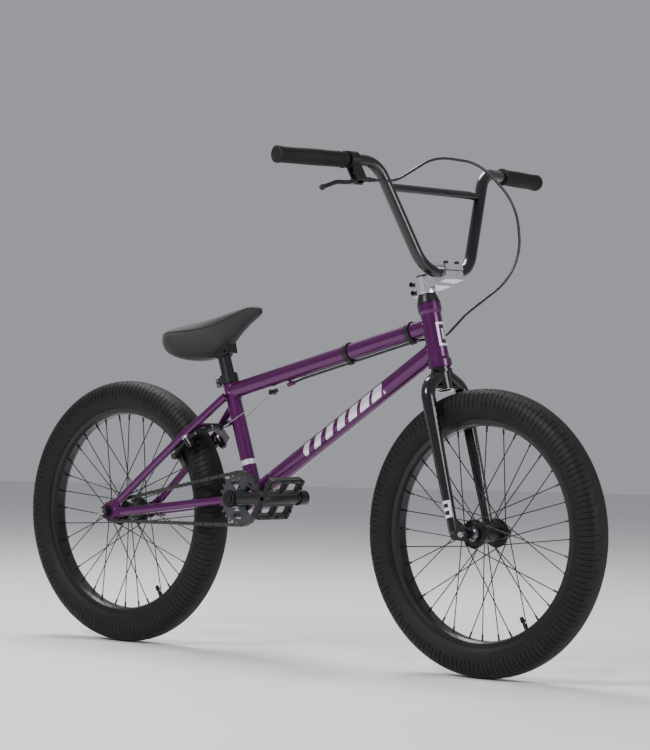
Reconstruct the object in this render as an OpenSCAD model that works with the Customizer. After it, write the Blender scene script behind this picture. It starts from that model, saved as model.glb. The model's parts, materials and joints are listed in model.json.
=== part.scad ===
/* [Wheels] */
// Distance between the two wheel axles
wheelbase = 900; // [860:1:1080]
// Outside diameter of both tyres
tyre_d = 520; // [430:1:624]
// Width of both tyres
tyre_w = 60; // [50:1:64]
// Spokes in each wheel
spokes = 36; // [28:4:36]

/* [Frame] */
// Height of the crank centre above the axles
crank_rise = 40; // [10:1:60]
// Gap between the rear tread and the crank centre
stay_gap = 86; // [80:1:110]
// Angle of the seat tube from the floor
seat_angle = 71; // [68:0.5:74]
// Angle of the steering axis from the floor
head_angle = 75; // [72:0.5:77]
// Length of the head tube
head_len = 120; // [100:1:145]
// Length of the seat tube above the crank centre
seat_tube_len = 246; // [205:1:295]
// Diameter of the top tube
top_d = 31.8; // [26:0.1:36]
// Diameter of the down tube
down_d = 35; // [29:0.1:40]
// Diameter of the seat stays
stay_d = 16; // [13:0.5:18]

/* [Fork and bars] */
// Gap between the front tread and the top of the crown
crown_gap = 50; // [46:1:70]
// Distance of the front axle ahead of the steering axis
fork_offset = 30; // [24:1:36]
// Width of the bars over the grips
bar_w = 748; // [620:1:900]
// Rise of the bars
bar_rise = 207; // [172:1:250]
// Diameter of the bar tube
bar_d = 22.2; // [22:0.1:25.4]
// Length of the stem from steering axis to bars
stem_reach = 53; // [48:1:60]
// Length of each grip
grip_len = 146; // [120:1:165]

/* [Drive] */
// Length of the crank arms
crank_len = 175; // [146:1:180]
// Teeth on the sprocket
ring_teeth = 25; // [23:1:30]
// Angle of the right crank above the horizontal
crank_angle = 3; // [-90:1:90]
// Tilt of the pedal platforms
pedal_tilt = 60; // [-80:1:80]

/* [Saddle] */
// Length of the saddle
saddle_len = 248; // [218:1:300]
// Width of the saddle at the back
saddle_w = 134; // [118:1:160]
// How far the nose of the saddle points up
saddle_tilt = 13; // [0:1:20]

/* [Hidden] */
$fn = 96;
eps = 0.04;
R = tyre_d / 2;
rt = tyre_w / 2;
seat_r = R - tyre_w + 3;
rim_in = seat_r - 10;
rim_hw = 18;
xr = -wheelbase / 2;
xf = wheelbase / 2;
rear = [xr, 0, R];
front = [xf, 0, R];
// chain: 12.7 mm pitch, nine teeth at the back
pitch = 12.7;
cog_teeth = 9;
chain_y = -46;
r_ring = pitch / 2 / sin(180 / ring_teeth);
r_cog = pitch / 2 / sin(180 / cog_teeth);
stay_want = R + stay_gap;
function wrap(c) = asin((r_ring - r_cog) / c);
function arc_steps(c) = (180 + 2 * wrap(c)) / 360 * ring_teeth
    + (180 - 2 * wrap(c)) / 360 * cog_teeth;
function stay_for(n, c) = pitch * (n - arc_steps(c)) / 2 / cos(wrap(c));
links = 2 * ceil((2 * stay_want * cos(wrap(stay_want)) / pitch
    + arc_steps(stay_want)) / 2 - 0.02);
stay_1 = stay_for(links, stay_want);
stay_2 = stay_for(links, stay_1);
stay_len = stay_for(links, stay_2);
xb = xr + sqrt(stay_len * stay_len - crank_rise * crank_rise);
bb = [xb, 0, R + crank_rise];
st_dir = [-cos(seat_angle), 0, sin(seat_angle)];
function on_seat(s) = bb + s * st_dir;
// steering axis: z runs up it, x ahead of it, zero level with the front axle
base = [xf - fork_offset * sin(head_angle), 0, R - fork_offset * cos(head_angle)];
up = [-cos(head_angle), 0, sin(head_angle)];
ahead = [sin(head_angle), 0, cos(head_angle)];
fork_len = R + crown_gap;
h0 = fork_len + 4;
h1 = h0 + head_len;
function on_head(z) = base + z * up;
tt_a = on_seat(seat_tube_len - top_d / 2 - 15.1);
tt_b = on_head(h1 - 39);
dt_a = bb + [0, 0, 9];
dt_b = on_head(h0 + 36);
tt_dir = unit(tt_b - tt_a);
tt_down = [tt_dir.z, 0, -tt_dir.x];
function on_tt(f, g) = tt_a + f * (tt_b - tt_a) + (top_d / 2 + g) * tt_down;
// seat stays and the brake hung on them
stay_foot = rear + [36, 0, 26];
stay_top = on_seat(seat_tube_len - 41);
s_dir = unit(stay_top - rear - [0, 0, 6]);
stay_knee = rear + (R - 13) * s_dir;
brake_o = stay_knee + 4 * s_dir;
n_dir = [s_dir.z, 0, -s_dir.x];
stay_y = rt + 16;
function brake_at(y, s, n) = brake_o + s * s_dir + n * n_dir + [0, y, 0];
pad_drop = -(R - 9 - (seat_r - 1));
// bars
bar_o = [stem_reach, 0, h1 + 45];
roll = 3;
bw = bar_w / 2;
function on_bar(y, s, b) = bar_o + [sin(roll) * s - b, y, cos(roll) * s];
sweep = 11;
grip_in_y = bw - grip_len * cos(sweep);
elbow_y = bw * 0.43;
end_b = (bw - elbow_y) * tan(sweep);
end_s = bar_rise;
elbow_s = bar_rise - (bw - elbow_y) * tan(2.5);
bar_foot = on_bar(bw * 0.17, 0, 0);
bar_corner = on_bar(elbow_y - 4, elbow_s - 1, 0);
bar_end = on_bar(bw, end_s, end_b);
grip_dir = unit(bar_end - bar_corner);
function flip(p) = [p.x, -p.y, p.z];
// right brake lever: u runs out along the bar, v down and ahead, w is its hinge
lu = flip(grip_dir);
lv = unit(cross(lu, cross([0.32, 0, -0.95], lu)));
lw = cross(lu, lv);
lever_o = flip(bar_end - (grip_len + 17) * grip_dir);
lever_b = 27;
cable_b = 42;
function on_lever(a, b, c) = lever_o + a * lu + b * lv + c * lw;
// steering frame to world
function world(p) = base + p.x * ahead + [0, p.y, 0] + p.z * up;
crank_dir = [cos(crank_angle), 0, sin(crank_angle)];
function pedal_c(side) = bb - side * crank_len * crank_dir;

function unit(v) = v / norm(v);

module along(a, b) {
  v = b - a;
  translate(a)
  rotate([0, acos(v.z / norm(v)), atan2(v.y, v.x)])
  children();
}

module rod(a, b, d) {
  along(a, b)
  cylinder(d = d, h = norm(b - a));
}

module cone(a, b, d1, d2) {
  along(a, b)
  cylinder(d1 = d1, d2 = d2, h = norm(b - a));
}

// cylinder of radius r along y
module yrod(p, r, y0, y1) {
  translate([p.x, y0, p.z])
  rotate([-90, 0, 0])
  cylinder(r = r, h = y1 - y0);
}

module frame_at(o, x, y, z) {
  multmatrix([
    [x.x, y.x, z.x, o.x],
    [x.y, y.y, z.y, o.y],
    [x.z, y.z, z.z, o.z],
    [0, 0, 0, 1]])
  children();
}

// one bend of radius r at point p, between the runs from a and to b
module bend(a, p, b, r, d) {
  u = unit(p - a);
  v = unit(b - p);
  t = acos(u * v);
  s = p - r * tan(t / 2) * u;
  c = p + unit(v - u) * r / cos(t / 2);
  x = (s - c) / r;
  frame_at(c, x, u, cross(x, u))
  rotate_extrude(angle = t)
  translate([r, 0])
  circle(d = d);
}

function cut(a, p, b, r) = r * tan(acos(unit(p - a) * unit(b - p)) / 2);

// a bent tube through all the points; r holds the radius at each inner one,
// and each straight run reaches a little way into its bends
module pipe(p, r, d) {
  n = len(p);
  for (i = [0:n - 2]) {
    u = unit(p[i + 1] - p[i]);
    s = i == 0 ? 0 : cut(p[i - 1], p[i], p[i + 1], r[i - 1]) - 0.8;
    e = i == n - 2 ? 0 : cut(p[i], p[i + 1], p[i + 2], r[i]) - 0.8;
    rod(p[i] + s * u, p[i + 1] - e * u, d - 0.1);
  }
  for (i = [1:n - 2])
    bend(p[i - 1], p[i], p[i + 1], r[i - 1], d);
}

// hexagonal nut or bolt head, f across the flats
module hex(f, h) {
  cylinder(d = f / cos(30), h = h, $fn = 6);
}

module steer() {
  frame_at(base, ahead, [0, 1, 0], up)
  children();
}

module both() {
  children();
  mirror([0, 1, 0])
  children();
}

// revolve about the y axis through a wheel centre; the section is (radius, y)
module wheel_turn(c) {
  translate(c)
  rotate([-90, 0, 0])
  rotate_extrude()
  children();
}

// ---------- wheels ----------

// tyre and inner tube as one body, with no air space between them
module tyre(c) {
  wheel_turn(c) {
    difference() {
      translate([R - rt, 0])
      circle(r = rt);
      translate([0, -rt - 5])
      square([seat_r + 9, 2 * rt + 10]);
    }
    for (m = [0, 1])
      mirror([0, m])
      polygon([
        [seat_r + 9.6, sqrt(24 * rt - 144) - 0.1],
        [seat_r + 9.6, sqrt(18 * rt - 135) + 0.7],
        [seat_r + 5, 12.4],
        [seat_r + 0.3, 11.2],
        [seat_r + 0.3, 15.3],
        [seat_r + 6.9, 15.3],
        [seat_r + 7.2, 18.6]]);
  }
}

module rim(c) {
  wheel_turn(c)
  polygon([
    [rim_in, -9], [rim_in, 9], [rim_in + 3.5, 16], [seat_r + 2, 18],
    [seat_r + 6.4, 18], [seat_r + 6.4, 15.6], [seat_r, 15.6], [seat_r, 10],
    [rim_in + 4, 7], [rim_in + 4, -7], [seat_r, -10], [seat_r, -15.6],
    [seat_r + 6.4, -15.6], [seat_r + 6.4, -18], [seat_r + 2, -18],
    [rim_in + 3.5, -16]]);
}

function polar(c, r, a, y) = c + [r * cos(a), y, r * sin(a)];

// spokes of one flange, crossed three times; s is the side, y0 the flange
module spoke_side(c, s, y0, rf, turn) {
  n = spokes / 2;
  step = 360 / n;
  for (j = [0:n - 1]) {
    k = j % 2 == 0 ? -1 : 1;
    a = j * step + turn;
    f = a + k * 3 * step;
    y = y0 + k * (k * s > 0 ? 2.9 + 10.6 * abs(y0) / (rim_in - rf) : 2.9);
    q0 = polar(c, rf, f, y);
    q1 = polar(c, rim_in - 0.5, a, s * 2.5);
    w = unit(q1 - q0);
    union() {
      rod(q0, q1, 2);
      rod(q1 - 11 * w, q1, 3.6);
      rod(polar(c, rf, f, y0 - k * 2.5), q0 + [0, k * 1.1, 0], 2.3);
      rod(polar(c, rf, f, y0 - k * 2.8), polar(c, rf, f, y0 - k * 1.85), 3.6);
    }
  }
}

module spoke_holes(c, y0, rf, turn) {
  n = spokes / 2;
  for (j = [0:n - 1])
    yrod(polar(c, rf, j * 360 / n + turn, 0), 1.3, y0 - 4, y0 + 4);
}

front_fl = 33;
rear_fl_l = 31;
rear_fl_r = -23;

module front_spokes() {
  color("#26262a") {
    spoke_side(front, 1, front_fl, 24, 0);
    spoke_side(front, -1, -front_fl, 24, 180 / (spokes / 2));
  }
}

module rear_spokes() {
  color("#26262a") {
    spoke_side(rear, 1, rear_fl_l, 25, 0);
    spoke_side(rear, -1, rear_fl_r, 25, 180 / (spokes / 2));
  }
}

// rf is the circle of spoke holes, rb the barrel, bore the bearing seats
module hub_shape(c, y0, y1, fl, fr, rf, rb, bore) {
  difference() {
    union() {
      yrod(c, rb, y0, y1);
      yrod(c, rf + 2.2, fl - 1.75, fl + 1.75);
      yrod(c, rf + 2.2, fr - 1.75, fr + 1.75);
    }
    yrod(c, bore - 3, y0 - 1, y1 + 1);
    yrod(c, bore, y0 - 1, y0 + 7);
    yrod(c, bore, y1 - 7, y1 + 1);
    spoke_holes(c, fl, rf, 0);
    spoke_holes(c, fr, rf, 180 / (spokes / 2));
  }
}

module front_hub() {
  color("#1b1b1e")
  hub_shape(front, -39, 39, front_fl, -front_fl, 24, 16, 13.05);
}

module rear_hub() {
  color("#1b1b1e")
  hub_shape(rear, -31, 41, rear_fl_l, rear_fl_r, 25, 18, 15.05);
}

module front_bearings() {
  color("#8d8f94")
  both()
  difference() {
    union() {
      yrod(front, 13, 32.2, 38.8);
      yrod(front, 8, 38.8, 50);
    }
    yrod(front, 4.8, 30, 52);
  }
}

module rear_bearings() {
  color("#8d8f94")
  difference() {
    union() {
      yrod(rear, 15, 34.2, 40.8);
      yrod(rear, 10.5, 40.8, 55);
      yrod(rear, 15, -30.8, -24.2);
      yrod(rear, 10, -33.4, -30.8);
      yrod(rear, 10.5, -55, -51);
    }
    yrod(rear, 7.05, -60, 60);
  }
}

// axle with a shallow groove outside each nut, where the thread runs out
module axle(c, r, e, g) {
  yrod(c, r - 0.2, -e + 1, e - 1);
  yrod(c, r, -g, g);
  both()
  yrod(c, r, g + 0.6, e);
}

module front_axle() {
  color("#a9abb0")
  axle(front, 4.76, 75, 67.4);
}

module rear_axle() {
  color("#a9abb0")
  axle(rear, 7, 80, 72.4);
}

module axle_nut(c, r, y, w, f, h) {
  difference() {
    union() {
      yrod(c, r + 6, y, y + w);
      translate([c.x, y + w, c.z])
      rotate([-90, 0, 0])
      intersection() {
        hex(f, h);
        cylinder(r1 = f / 2 + 5, r2 = f / 2, h = h);
      }
    }
    yrod(c, r + 0.03, y - 1, y + w + h + 1);
  }
}

module front_nuts() {
  color("#2a2a2d")
  both()
  axle_nut(front, 4.76, 56, 2, 15, 9);
}

module rear_nuts() {
  color("#2a2a2d")
  both()
  axle_nut(rear, 7, 61, 2, 19, 9);
}

module front_tyre() {
  color("#222224")
  tyre(front);
}

module rear_tyre() {
  color("#222224")
  tyre(rear);
}

module front_rim() {
  color("#18181a")
  rim(front);
}

module rear_rim() {
  color("#18181a")
  rim(rear);
}

// ---------- frame ----------

purple = "#5b1b6e";

module head_tube() {
  color(purple)
  steer()
  difference() {
    union() {
      translate([0, 0, h0])
      cylinder(d = 38, h = head_len);
      for (z = [h0, h1 - 13])
        translate([0, 0, z])
        cylinder(d = 44, h = 13);
      translate([0, 0, h0 + 13])
      cylinder(d1 = 44, d2 = 38, h = 6);
      translate([0, 0, h1 - 19])
      cylinder(d1 = 38, d2 = 44, h = 6);
    }
    translate([0, 0, h0 - 1])
    cylinder(r = 16, h = head_len + 2);
    translate([0, 0, h0 - 1])
    cylinder(r = 19.02, h = 8.5);
    translate([0, 0, h1 - 7.5])
    cylinder(r = 19.02, h = 8.5);
  }
}

module headset_bearings() {
  color("#7c7e83")
  steer()
  for (z = [h0 + 0.2, h1 - 7.2])
    translate([0, 0, z])
    difference() {
      cylinder(r = 19, h = 7);
      translate([0, 0, -1])
      cylinder(r = 14.35, h = 9);
    }
}

module head_solid() {
  steer()
  translate([0, 0, h0 - 2])
  cylinder(d = 38 + eps, h = head_len + 4);
}

module seat_solid() {
  rod(on_seat(-5), on_seat(seat_tube_len), 28.6 + eps);
}

module bb_solid() {
  yrod(bb, 25 + eps / 2, -60, 60);
}

module head_flares() {
  steer()
  for (z = [h0 - 2, h1 - 20])
    translate([0, 0, z])
    cylinder(d = 44 + eps, h = 22);
}

module top_tube() {
  color(purple) {
    cable_stop();
    top_pipe();
  }
}

module top_pipe() {
  difference() {
    rod(tt_a, tt_b, top_d);
    rod(tt_a, tt_b, top_d - 2.8);
    head_solid();
    seat_solid();
  }
}

module down_tube() {
  color(purple)
  difference() {
    rod(dt_a, dt_b, down_d);
    rod(dt_a, dt_b, down_d - 2.8);
    head_solid();
    head_flares();
    seat_solid();
    bb_solid();
  }
}

module seat_tube() {
  color(purple)
  difference() {
    rod(on_seat(10), on_seat(seat_tube_len), 28.6);
    rod(on_seat(0), on_seat(seat_tube_len + 1), 25.5);
    bb_solid();
  }
}

module bb_shell() {
  color(purple)
  difference() {
    yrod(bb, 25, -36.5, 36.5);
    yrod(bb, 20.62, -40, 40);
  }
}

module bb_bearings() {
  color("#77797e")
  both()
  difference() {
    union() {
      yrod(bb, 20.6, 27, 36.3);
      yrod(bb, 22, 36.6, 38.6);
    }
    yrod(bb, 11.05, 20, 60);
  }
}

cs_knee = [xb - 94, stay_y - 4, R + crank_rise - 11];
cs_foot = rear + [42, 58, 1];

module chain_stay() {
  difference() {
    pipe([cs_foot, cs_knee, cs_front], [60], stay_d + 1);
    bb_solid();
  }
}

module seat_stay() {
  difference() {
    pipe([
      stay_foot + [0, 59.5, 0],
      stay_knee + [0, stay_y, 0],
      stay_top + [-4, 18.5, 0]], [90], stay_d);
    seat_solid();
  }
}

module chain_stays() {
  color(purple)
  both()
  difference() {
    chain_stay();
    dropout_shape(eps);
  }
}

module seat_stays() {
  color(purple)
  both()
  difference() {
    seat_stay();
    dropout_shape(eps);
  }
}

// plate with the axle slot open to the back; x ahead and y up from the axle
module dropout_shape(g) {
  translate([rear.x, 61 + g, rear.z])
  rotate([90, 0, 0])
  linear_extrude(6 + 2 * g)
  difference() {
    union() {
      hull() {
        circle(r = 15);
        translate([10, 2])
        circle(r = 16);
      }
      translate([8, -9])
      square([38, 20]);
      hull() {
        translate([12, 6])
        circle(r = 11);
        translate([40, 29])
        circle(r = 6);
      }
    }
    translate([6.5, 0])
    circle(r = 7.15);
    translate([-20, -7.12])
    square([26.5, 14.24]);
  }
}

module dropouts() {
  color(purple)
  both()
  dropout_shape(0);
}

bridge_s = R + 17;
bridge_f = (bridge_s - R + 13) / (norm(stay_top - rear) - R + 13);
bridge_y = stay_y - bridge_f * (stay_y - 18.5);
cs_front = bb + [-14, 24, 0];
cs_bridge = cs_knee + 25 / 80 * (cs_front - cs_knee);

module stay_bridges() {
  color(purple)
  difference() {
    union() {
      yrod(rear + bridge_s * s_dir, 6, -bridge_y, bridge_y);
      yrod(cs_bridge, 6, -cs_bridge.y, cs_bridge.y);
    }
    both()
    pipe([cs_foot, cs_knee, cs_front], [60], stay_d + 1 + eps);
    both()
    stay_cut();
  }
}

module stay_cut() {
  pipe([
    stay_foot + [0, 59.5, 0],
    stay_knee + [0, stay_y, 0],
    stay_top + [-4, 18.5, 0]], [90], stay_d + eps);
}

// ---------- seat post clamp ----------

module seat_clamp() {
  color("#1c1c1f")
  along(on_seat(seat_tube_len - 15), on_seat(seat_tube_len + 3))
  difference() {
    union() {
      cylinder(r = 18, h = 18);
      translate([14, -8, 1])
      cube([14, 16, 16]);
    }
    translate([0, 0, -1])
    cylinder(r = 14.33, h = 16.02);
    cylinder(r = 12.9, h = 20);
    translate([10, -1, -1])
    cube([20, 2, 20]);
    for (z = [5, 13])
      translate([23.5, -10, z])
      rotate([-90, 0, 0])
      cylinder(r = 2.05, h = 20);
  }
}

module seat_clamp_bolts() {
  color("#c4c6ca")
  along(on_seat(seat_tube_len - 15), on_seat(seat_tube_len + 3))
  for (z = [5, 13])
    translate([23.5, 0, z])
    rotate([-90, 0, 0]) {
      translate([0, 0, -8])
      cylinder(r = 2, h = 16.5);
      translate([0, 0, -11.5])
      difference() {
        cylinder(r = 3.6, h = 3.5);
        translate([0, 0, -1])
        hex(3, 3);
      }
    }
}

// ---------- fork ----------

fy = 52;

module fork() {
  color("#151517")
  steer()
  difference() {
    union() {
      translate([0, 0, fork_len - 38])
      cylinder(d = 31, h = 33);
      translate([0, 0, fork_len - 6])
      cylinder(d = 40, h = 5.6);
      translate([0, 0, fork_len - 1])
      cylinder(r = 18.6, h = 4.6);
      cylinder_up(14.3, fork_len, h1 + 49);
      translate([-9, -34, fork_len - 37])
      cube([18, 68, 5]);
      both() {
        cone([0, fy, 12], [0, fy, fork_len - 70], 19, 26);
        pipe([[0, fy, fork_len - 71], [0, fy, fork_len - 34], [0, 5, fork_len - 6]],
          [34], 26);
        translate([0, fy, 12])
        sphere(d = 19);
        fork_tip();
      }
    }
    translate([0, 0, fork_len - 45])
    cylinder(r = 12, h = 400);
    both()
    fork_slot();
  }
}

module cylinder_up(r, z0, z1) {
  translate([0, 0, z0])
  cylinder(r = r, h = z1 - z0);
}

// plate for the axle
module fork_tip() {
  translate([0, 56, 0])
  rotate([90, 0, 0])
  linear_extrude(6) {
    hull() {
      translate([fork_offset, 0])
      circle(r = 13);
      translate([4, 6])
      circle(r = 11);
    }
    hull() {
      translate([fork_offset - 6, 4])
      circle(r = 10);
      translate([0, 34])
      circle(r = 6);
    }
  }
}

// room for the axle, the nut face and the hub face, open downward
module fork_slot() {
  translate([fork_offset, 0, 0]) {
    translate([0, 70, 0])
    rotate([90, 0, 0])
    cylinder(r = 4.9, h = 30);
    translate([0, 49.99, 0])
    rotate([90, 0, 0])
    cylinder(r = 15, h = 12);
    translate([0, 70, 0])
    rotate([90, 0, 0])
    cylinder(r = 12, h = 13.99);
    rotate([0, -(90 - head_angle), 0])
    translate([-4.86, 40, -30])
    cube([9.72, 30, 30]);
  }
}

module headset_cover() {
  color("#1a1a1c")
  steer()
  difference() {
    union() {
      translate([0, 0, h1 + 0.5])
      cylinder(r = 21.5, h = 3);
      translate([0, 0, h1 + 3.4])
      cylinder(r1 = 21, r2 = 17, h = 14.6);
    }
    translate([0, 0, h1 - 1])
    cylinder(r = 14.33, h = 30);
  }
}

// ---------- stem ----------

c0 = h1 + 18.2;
// bolts of the bar clamp, clear of the bar
bolt_x = bar_d / 2 + 3.4;
clamp_x = bolt_x + 3.5;

module stem_body() {
  color("#e9eaec")
  steer()
  difference() {
    union() {
      cylinder_up(19, c0, c0 + 32);
      translate([-25, -11, c0 + 1])
      cube([12, 22, 30]);
      hull() {
        translate([8, -15, c0 + 3])
        cube([2, 30, 26]);
        translate([bar_o.x - clamp_x, -24, bar_o.z - 21])
        cube([6, 48, 20.4]);
      }
      translate([bar_o.x - clamp_x, -25, bar_o.z - 17])
      cube([2 * clamp_x, 50, 16.4]);
      intersection() {
        yrod(bar_o, 18, -25, 25);
        translate([bar_o.x - 30, -30, bar_o.z - 40])
        cube([60, 60, 39.4]);
      }
    }
    cylinder_up(14.33, c0 - 1, c0 + 40);
    yrod(bar_o, bar_d / 2 + eps, -40, 40);
    translate([-40, -1, c0 - 1])
    cube([30, 2, 40]);
    for (z = [8, 24])
      translate([-20, -20, c0 + z])
      rotate([-90, 0, 0])
      cylinder(r = 3.05, h = 40);
    for (x = [-bolt_x, bolt_x], y = [-16, 16])
      translate([bar_o.x + x, y, bar_o.z - 14])
      cylinder(r = 2.55, h = 20);
  }
}

module stem_cap() {
  color("#e9eaec")
  steer()
  difference() {
    union() {
      translate([bar_o.x - clamp_x - 2, -25, bar_o.z + 0.6])
      cube([2 * clamp_x + 4, 50, 11]);
      intersection() {
        yrod(bar_o, 17, -25, 25);
        translate([bar_o.x - 30, -30, bar_o.z + 0.6])
        cube([60, 60, 30]);
      }
    }
    yrod(bar_o, bar_d / 2 + eps, -40, 40);
    for (x = [-bolt_x, bolt_x], y = [-16, 16])
      translate([bar_o.x + x, y, bar_o.z - 14])
      cylinder(r = 2.55, h = 25.6);
    for (x = [-bolt_x, bolt_x], y = [-16, 16])
      translate([bar_o.x + x, y, bar_o.z + 11.6])
      cylinder(r = 4.6, h = 20);
  }
}

module socket_bolt(r, rh, len, head) {
  translate([0, 0, -len])
  cylinder(r = r, h = len);
  difference() {
    cylinder(r = rh, h = head);
    translate([0, 0, head - 2.5])
    hex(rh, 3);
  }
}

module stem_bolts() {
  color("#161618")
  steer() {
    for (x = [-bolt_x, bolt_x], y = [-16, 16])
      translate([bar_o.x + x, y, bar_o.z + 11.7])
      socket_bolt(2.5, 4.4, 24, 6);
    for (z = [8, 24])
      translate([-20, -11.1, c0 + z])
      rotate([90, 0, 0])
      socket_bolt(3, 4.6, 20, 5);
    translate([0, 0, c0 + 32.2])
    socket_bolt(11.9, 14, 4, 4);
  }
}

// ---------- bars ----------

cross_f = 0.77;

module bar_path(d, over) {
  e = bar_end + over * grip_dir;
  pipe([
    flip(e), flip(bar_corner), flip(bar_foot), bar_foot, bar_corner, e],
    [50, 62, 62, 50], d);
}

module handlebar() {
  color("#131315")
  steer()
  difference() {
    union() {
      bar_path(bar_d, 0);
      q = bar_foot + cross_f * (bar_corner - bar_foot);
      rod(flip(q), q, 16);
    }
    bar_path(bar_d - 3, 4);
  }
}

module grip(m) {
  a = bar_end - grip_len * grip_dir;
  b = bar_end + 5 * grip_dir;
  steer()
  mirror([0, m, 0])
  difference() {
    union() {
      rod(a, b, bar_d + 6.4);
      rod(a, a + 5 * grip_dir, bar_d + 11);
      rod(b - 6 * grip_dir, b, bar_d + 9);
      for (k = [0:10])
        rod(a + (12 + k * (grip_len - 26) / 10) * grip_dir,
          a + (16 + k * (grip_len - 26) / 10) * grip_dir, bar_d + 8.6);
    }
    rod(a - 2 * grip_dir, bar_end + 0.02 * grip_dir, bar_d + eps);
  }
}

module grip_left() {
  color("#1b1b1c")
  grip(0);
}

module grip_right() {
  color("#1b1b1c")
  grip(1);
}

// ---------- brake lever ----------

module lever_bracket() {
  color("#19191b")
  steer()
  difference() {
    union() {
      rod(on_lever(-10, 0, 0), on_lever(8, 0, 0), bar_d + 9);
      frame_at(lever_o, lu, lv, lw)
      difference() {
        translate([-11, 8, -9])
        cube([20, 40, 18]);
        translate([-7, 18, -4.6])
        cube([50, 40, 9.2]);
      }
      rod(on_lever(-8, cable_b, 0), on_lever(-27, cable_b, 0), 9);
      rod(on_lever(0, lever_b, -8), on_lever(0, lever_b, 8), 5);
    }
    rod(on_lever(-14, 0, 0), on_lever(12, 0, 0), bar_d + eps);
    rod(on_lever(-24, cable_b, 0), on_lever(-30, cable_b, 0), 5 + eps);
    rod(on_lever(-28, cable_b, 0), on_lever(-5, cable_b, 0), 2);
  }
}

module brake_lever() {
  color("#222225")
  steer()
  frame_at(lever_o, lu, lv, lw)
  difference() {
    union() {
      translate([0, lever_b, -4.1])
      cylinder(r = 6, h = 8.2);
      pipe([
        [0, lever_b, 0], [3, cable_b + 1, 0], [26, 51, 0],
        [54, 52, 0], [92, 66, 0]], [8, 30, 40], 8);
      translate([92, 66, 0])
      sphere(d = 11);
    }
    translate([0, lever_b, -12])
    cylinder(r = 2.55, h = 24);
  }
}

// ---------- brake cable ----------

lever_exit = world(on_lever(-24.2, cable_b, 0));
clip_f = 0.9;
clip_at = on_tt(clip_f, 3.2);
cable_knee = on_tt(0.36, 3.2);
stop_at = on_tt(0.3, 5.8);
hang_dir = unit(cable_knee - stop_at);
hang = stop_at - 51 * hang_dir;

module housing_front() {
  color("#0e0e10") {
    a = lever_exit;
    u = unit(world(on_lever(-60, cable_b, 0)) - a);
    v = tt_dir;
    p1 = a + 58 * u;
    p2 = world(bar_o + [46, -30, bar_rise * 0.99]);
    p3 = world(bar_o + [70, 70, bar_rise * 0.93]);
    p4 = world(bar_o + [84, 138, bar_rise * 0.55]);
    p5 = world(bar_o + [66, 142, -6]);
    p6 = world([30, 66, h1 - 24]);
    p7 = clip_at + 47 * v + [0, 38, 0];
    p8 = clip_at + 14 * v;
    pipe([a, p1, p2, p3, p4, p5, p6, p7, p8, clip_at + 0.3 * v],
      [100, 130, 100, 110, 120, 110, 36, 18], 5);
  }
}

module housing_rear() {
  color("#0e0e10")
  difference() {
    pipe([stop_at + 1 * hang_dir, cable_knee, clip_at], [60], 5);
    rod(stop_at, stop_at + 14 * hang_dir, 2.6);
  }
}

module cable_guides() {
  color("#141416")
  for (f = [clip_f, 0.6])
    difference() {
      p = tt_a + f * (tt_b - tt_a);
      union() {
        rod(p - 5 * tt_dir, p + 5 * tt_dir, top_d + 6);
        rod(p - 5 * tt_dir + (top_d / 2 + 3.2) * tt_down,
          p + 5 * tt_dir + (top_d / 2 + 3.2) * tt_down, 9);
      }
      rod(p - 8 * tt_dir, p + 8 * tt_dir, top_d + eps);
      rod(cable_knee, clip_at + 40 * tt_dir, 5 + eps);
    }
}

module cable_stop() {
  difference() {
    union() {
      rod(stop_at - 9 * hang_dir, stop_at + 6 * hang_dir, 8.4);
      rod(stop_at - 3 * hang_dir, stop_at - 3 * hang_dir - 7 * tt_down, 6);
    }
    rod(stop_at + 1 * hang_dir, stop_at + 9 * hang_dir, 5 + eps);
    rod(stop_at - 12 * hang_dir, stop_at + 9 * hang_dir, 2.4);
    rod(tt_a, tt_b, top_d - 1);
  }
}

module inner_cable() {
  rod(hang + 11.2 * hang_dir, stop_at + 2 * hang_dir, 1.6);
}

module cable_hanger() {
  color("#19191b")
  difference() {
    union() {
      yrod(hang, 5, -7, 7);
      rod(hang, hang + 11 * hang_dir, 8);
    }
    straddle_wire(1.64);
  }
}

// ---------- rim brake ----------

boss_n = 29;

module brake_bosses() {
  color("#26262a")
  both()
  difference() {
    union() {
      rod(brake_at(stay_y, 0, 4), brake_at(stay_y, 0, 11), 13);
      rod(brake_at(stay_y, 0, 10), brake_at(stay_y, 0, boss_n), 8);
      rod(brake_at(stay_y, 0, boss_n), brake_at(stay_y, 0, boss_n + 3), 12);
    }
    stay_cut();
  }
}

// flat bar through the points with ends of radius r, t thick
module plate(p, r, t) {
  for (i = [0:len(p) - 2]) {
    v = p[i + 1] - p[i];
    translate(p[i])
    rotate(atan2(v.y, v.x))
    translate([0, 0.3 - r, 0.02])
    cube([norm(v), 2 * r - 0.6, t - 0.04]);
  }
  for (q = p)
    translate(q)
    cylinder(r = r, h = t);
}

pad_e = unit(brake_at(0, pad_drop, 15.5) - rear);
pad_t = [pad_e.z, 0, -pad_e.x];
pad_p = rear + (seat_r - 1.2) * pad_e;

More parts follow.
